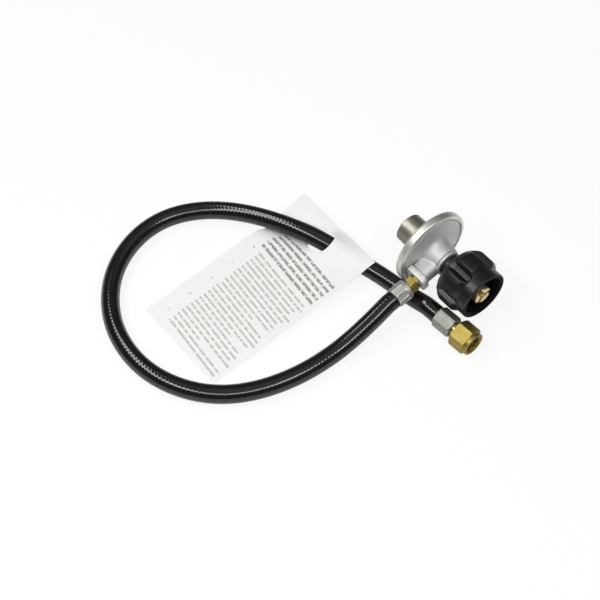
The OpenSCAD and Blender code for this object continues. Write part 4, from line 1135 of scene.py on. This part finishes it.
piece("cast_body", [body_patch(), flange_patch()], "housing", [die_cast], "regulator_body")


# ---------- Tag ----------

TAG_HOLE = np.array([-119.3, -53.0])
TAG_TURN = math.radians(0.3)
TAG_W, TAG_L, TAG_MARGIN, TAG_HOLE_R, TAG_T = 86.0, 159.0, 18.7, 10.5, 0.3

# How the tag lies: the hose's bearing over it; its lift off the floor, its rise from its far edge
# to its near one and its twist; and its dip under the hose and hump over it, which both fade to
# the hose's sides
CROSSING = math.radians(21)
LIFT, RISE, TWIST = 0.25, 16.3, 4
DIP, DIP_GROWTH, HUMP, HUMP_FADE, CREASE = 6, 0.06, 8.1, 24, 10.8


def tag_height(p, q):
    """Height above the floor of the tag's middle surface: a plane that rises towards the hole, with
    a slight twist, less a dip along the hose where it lies on the tag and plus a hump where it
    lies under it. Both fade to the sides as exp of minus the square of the way off the hose."""
    share = (q + TAG_L - TAG_MARGIN) / TAG_L
    along = p * math.cos(CROSSING) + q * math.sin(CROSSING)
    off = q * math.cos(CROSSING) - p * math.sin(CROSSING)
    past = np.maximum(np.abs(along) - TAG_HOLE_R, 0)
    dip = (DIP + DIP_GROWTH * past) * ease(-along / TAG_HOLE_R)
    hump = HUMP * ease(along / TAG_HOLE_R) * np.exp(-past / HUMP_FADE)
    crease = np.exp(-((off / CREASE) ** 2))
    return LIFT + RISE * share - TWIST * share**2 * p / TAG_W + (hump - dip) * crease


def tag_patches():
    """Two sheets of rings that run from the hole's circle out to the tag's four edges, closer
    together near the hole, and the walls at the hole and at the edge. The map is the place on the
    flat card, in metres; on the underside and the walls it is one place without a bar."""
    rings, crowding = 60, 1.5
    near, far, half = TAG_MARGIN, TAG_MARGIN - TAG_L, TAG_W / 2
    corners = np.array([[half, near], [-half, near], [-half, far], [half, far], [half, near]])
    sides = zip(corners[:-1], corners[1:], (60, 70, 40, 70))
    outline = np.concatenate([a + (b - a) * (np.arange(n) / n)[:, None] for a, b, n in sides])
    t = (np.linspace(0, 1, rings) ** crowding)[:, None, None]
    inner = unit(outline) * TAG_HOLE_R
    plan = inner + (outline - inner) * t
    p, q = plan[..., 0], plan[..., 1]
    z = tag_height(p, q)
    c, s = math.cos(TAG_TURN), math.sin(TAG_TURN)
    x, y = TAG_HOLE[0] + p * c - q * s, TAG_HOLE[1] + p * s + q * c

    def sheet(shift):
        """The middle surface, moved up or down."""
        return np.stack([x, y, FLOOR + z + shift], -1)

    top, under = sheet(TAG_T / 2), sheet(-TAG_T / 2)
    closed = np.concatenate([plan, plan[:, :1]], 1) * MM
    wall = np.zeros((2, closed.shape[1], 2))
    return [
        patch(top, uv=closed),
        patch(under, uv=np.zeros_like(closed) + [1.0, 1.0]),
        patch(np.stack([top[0], under[0]]), uv=wall + [1.0, 1.0]),
        patch(np.stack([top[-1], under[-1]]), uv=wall + [1.0, 1.0]),
    ]


card_tag = piece("card_tag", tag_patches(), "housing", [tag_card], "tag", sharp=40)


# ---------- Springs ----------


def coil_patch(mean_r, wire, turns, low, high, sides=16, per_turn=48):
    """One round wire wound about X between two stations. Its middle line goes round turns + 2
    times at mean_r. It rises 1.15 wires over its first turn and over its last, and evenly in
    between. Each ring lies in a plane through the axis, and each end closes on one point."""
    clearance = 0.02
    t = np.linspace(0, turns + 2, int((turns + 2) * per_turn) + 1)
    close, rise = 1.15 * wire, high - low - wire
    risen = np.interp(t, [0, 1, turns + 1, turns + 2], [0, close, rise - close, rise])
    half = np.full(len(t), wire / 2 - clearance)
    half[[0, -1]] = 0
    b = around(sides)
    r = mean_r + half[:, None] * np.cos(b)
    station = low + wire / 2 + risen[:, None] + half[:, None] * np.sin(b)
    return patch(wheel(r, station, 2 * math.pi * t[:, None]))


# piece, node, body, the coil, and for a coil that a joint presses: the joint and its travel
COILS = (
    ("main_coil", "main_spring", "housing", (7.7, 1.4, 4, -70.2, -54.8), "diaphragm_lift", 1.5),
    ("relief_coil", "relief_spring", "diaphragm_group", (4.2, 0.9, 3, -62.0, -54.8), None, 0),
    ("limiter_coil", "limiter_spring", "housing", (1.2, 0.5, 6, -19.0, -11.1), "limiter_slide", 1.5),
)
for name, node, body, coil, joint, travel in COILS:
    wound = piece(name, [coil_patch(*coil)], body, [spring_steel], node, REGULATOR, sharp=0)
    if joint:
        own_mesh(wound)


# ---------- Materials of the solids that stay ----------

KEPT = {
    "bonnet": bonnet_cast,
    "vent_screen": screen_metal,
    "tower_cap": cap_metal,
    "adjusting_screw": turned_brass,
    "diaphragm": rubber,
    "diaphragm_plate": pressed_steel,
    "diaphragm_stem": turned_brass,
    "stem_nut": turned_brass,
    "lever": pressed_steel,
    "lever_pin": spring_steel,
    "valve_plunger": plunger_resin,
    "valve_pad": pad_rubber,
    "nozzle": turned_brass,
    "limiter_poppet": probe_brass_painted_light,
}
for name, finish in KEPT.items():
    solid = nodes[name]
    solid.data.materials.clear()
    solid.data.materials.append(finish)


# ---------- Floor and light ----------


def floor_finish():
    """Pale floor: what the camera sees is mostly even white, and the rest takes the shadows. Other
    rays see less of the even white, so that the metal above mirrors a bright floor."""
    for_other_rays, more_for_camera = 0.25, 0.6
    mat = bpy.data.materials.new("pale_floor")
    tree = emptied(mat)
    cloth = add(tree, "BsdfPrincipled", {"Base Color": (0.92, 0.92, 0.915, 1), "Roughness": 0.9})
    glow = add(tree, "Emission", {"Color": (1, 1, 1, 1), "Strength": 1.0})
    seen = add(tree, "LightPath").outputs["Is Camera Ray"]
    share = calc(tree, "MULTIPLY_ADD", seen, more_for_camera, for_other_rays)
    both = add(tree, "MixShader", {0: share, 1: cloth.outputs[0], 2: glow.outputs[0]})
    add(tree, "OutputMaterial", {0: both.outputs[0]})
    return mat


def studio():
    """World: white to the camera, and to the object a grey shade, paler straight above and below."""
    world = bpy.data.worlds.new("studio")
    tree = emptied(world)
    up = add(tree, "SeparateXYZ", {0: add(tree, "TexCoord").outputs["Generated"]}).outputs["Z"]
    height = add(tree, "MapRange", {"Value": up, "From Min": -1.0, "From Max": 1.0}).outputs[0]
    side = (0.13, 0.13, 0.135)
    shade = ramp(tree, height, [(0.0, 0.3), (0.5, side), (0.75, side), (1.0, 0.25)])
    seen = add(tree, "LightPath").outputs["Is Camera Ray"]
    colour = add(tree, "Mix", {0: seen, 6: shade, 7: (1, 1, 1, 1)}, data_type="RGBA").outputs[2]
    back = add(tree, "Background", {"Color": colour, "Strength": 1.0})
    add(tree, "OutputWorld", {0: back.outputs[0]})
    return world


FLOOR_R, FLOOR_GAP = 3000, 0.02
reach = np.linspace(0, FLOOR_R, 16)
floor_mesh = build_mesh("floor", [patch(wheel(reach, reach * 0 + FLOOR - FLOOR_GAP, around(64)))])
floor_mesh.materials.append(floor_finish())
floor = put_in_scene(bpy.data.objects.new("floor", floor_mesh))
bpy.context.scene.world = studio()

MIDDLE = Vector((-0.08, -0.09, -0.02))


def softbox(name, way, far, size, glow):
    """A rectangular lamp that the object sees in the direction way, facing it. glow is its
    brightness; its power is that times pi and its area."""
    lamp = bpy.data.lights.new(name, "AREA")
    lamp.shape = "RECTANGLE"
    lamp.size, lamp.size_y = size
    lamp.energy = glow * math.pi * size[0] * size[1]
    at = MIDDLE + Vector(way).normalized() * far
    facing(put_in_scene(bpy.data.objects.new(name, lamp)), at, MIDDLE - at)


# strips end to end on a part of a circle, all as high above the floor: bearing and brightness
STRIP_RISE, STRIP_FAR, STRIP_SIZE = math.radians(55), 1.3, (0.45, 0.22)
STRIPS = ((9, 11.0), (-26, 7.5), (-61, 7.0), (-96, 11.5), (-131, 9.5), (-166, 8.0))
for number, (bearing, glow) in enumerate(STRIPS, 1):
    turn, level = math.radians(bearing), math.cos(STRIP_RISE)
    way = (math.cos(turn) * level, math.sin(turn) * level, math.sin(STRIP_RISE))
    softbox(f"strip_{number}", way, STRIP_FAR, STRIP_SIZE, glow)
softbox("overhead", (0.1, 0.25, 1.0), 1.4, (1.3, 1.3), 0.3)
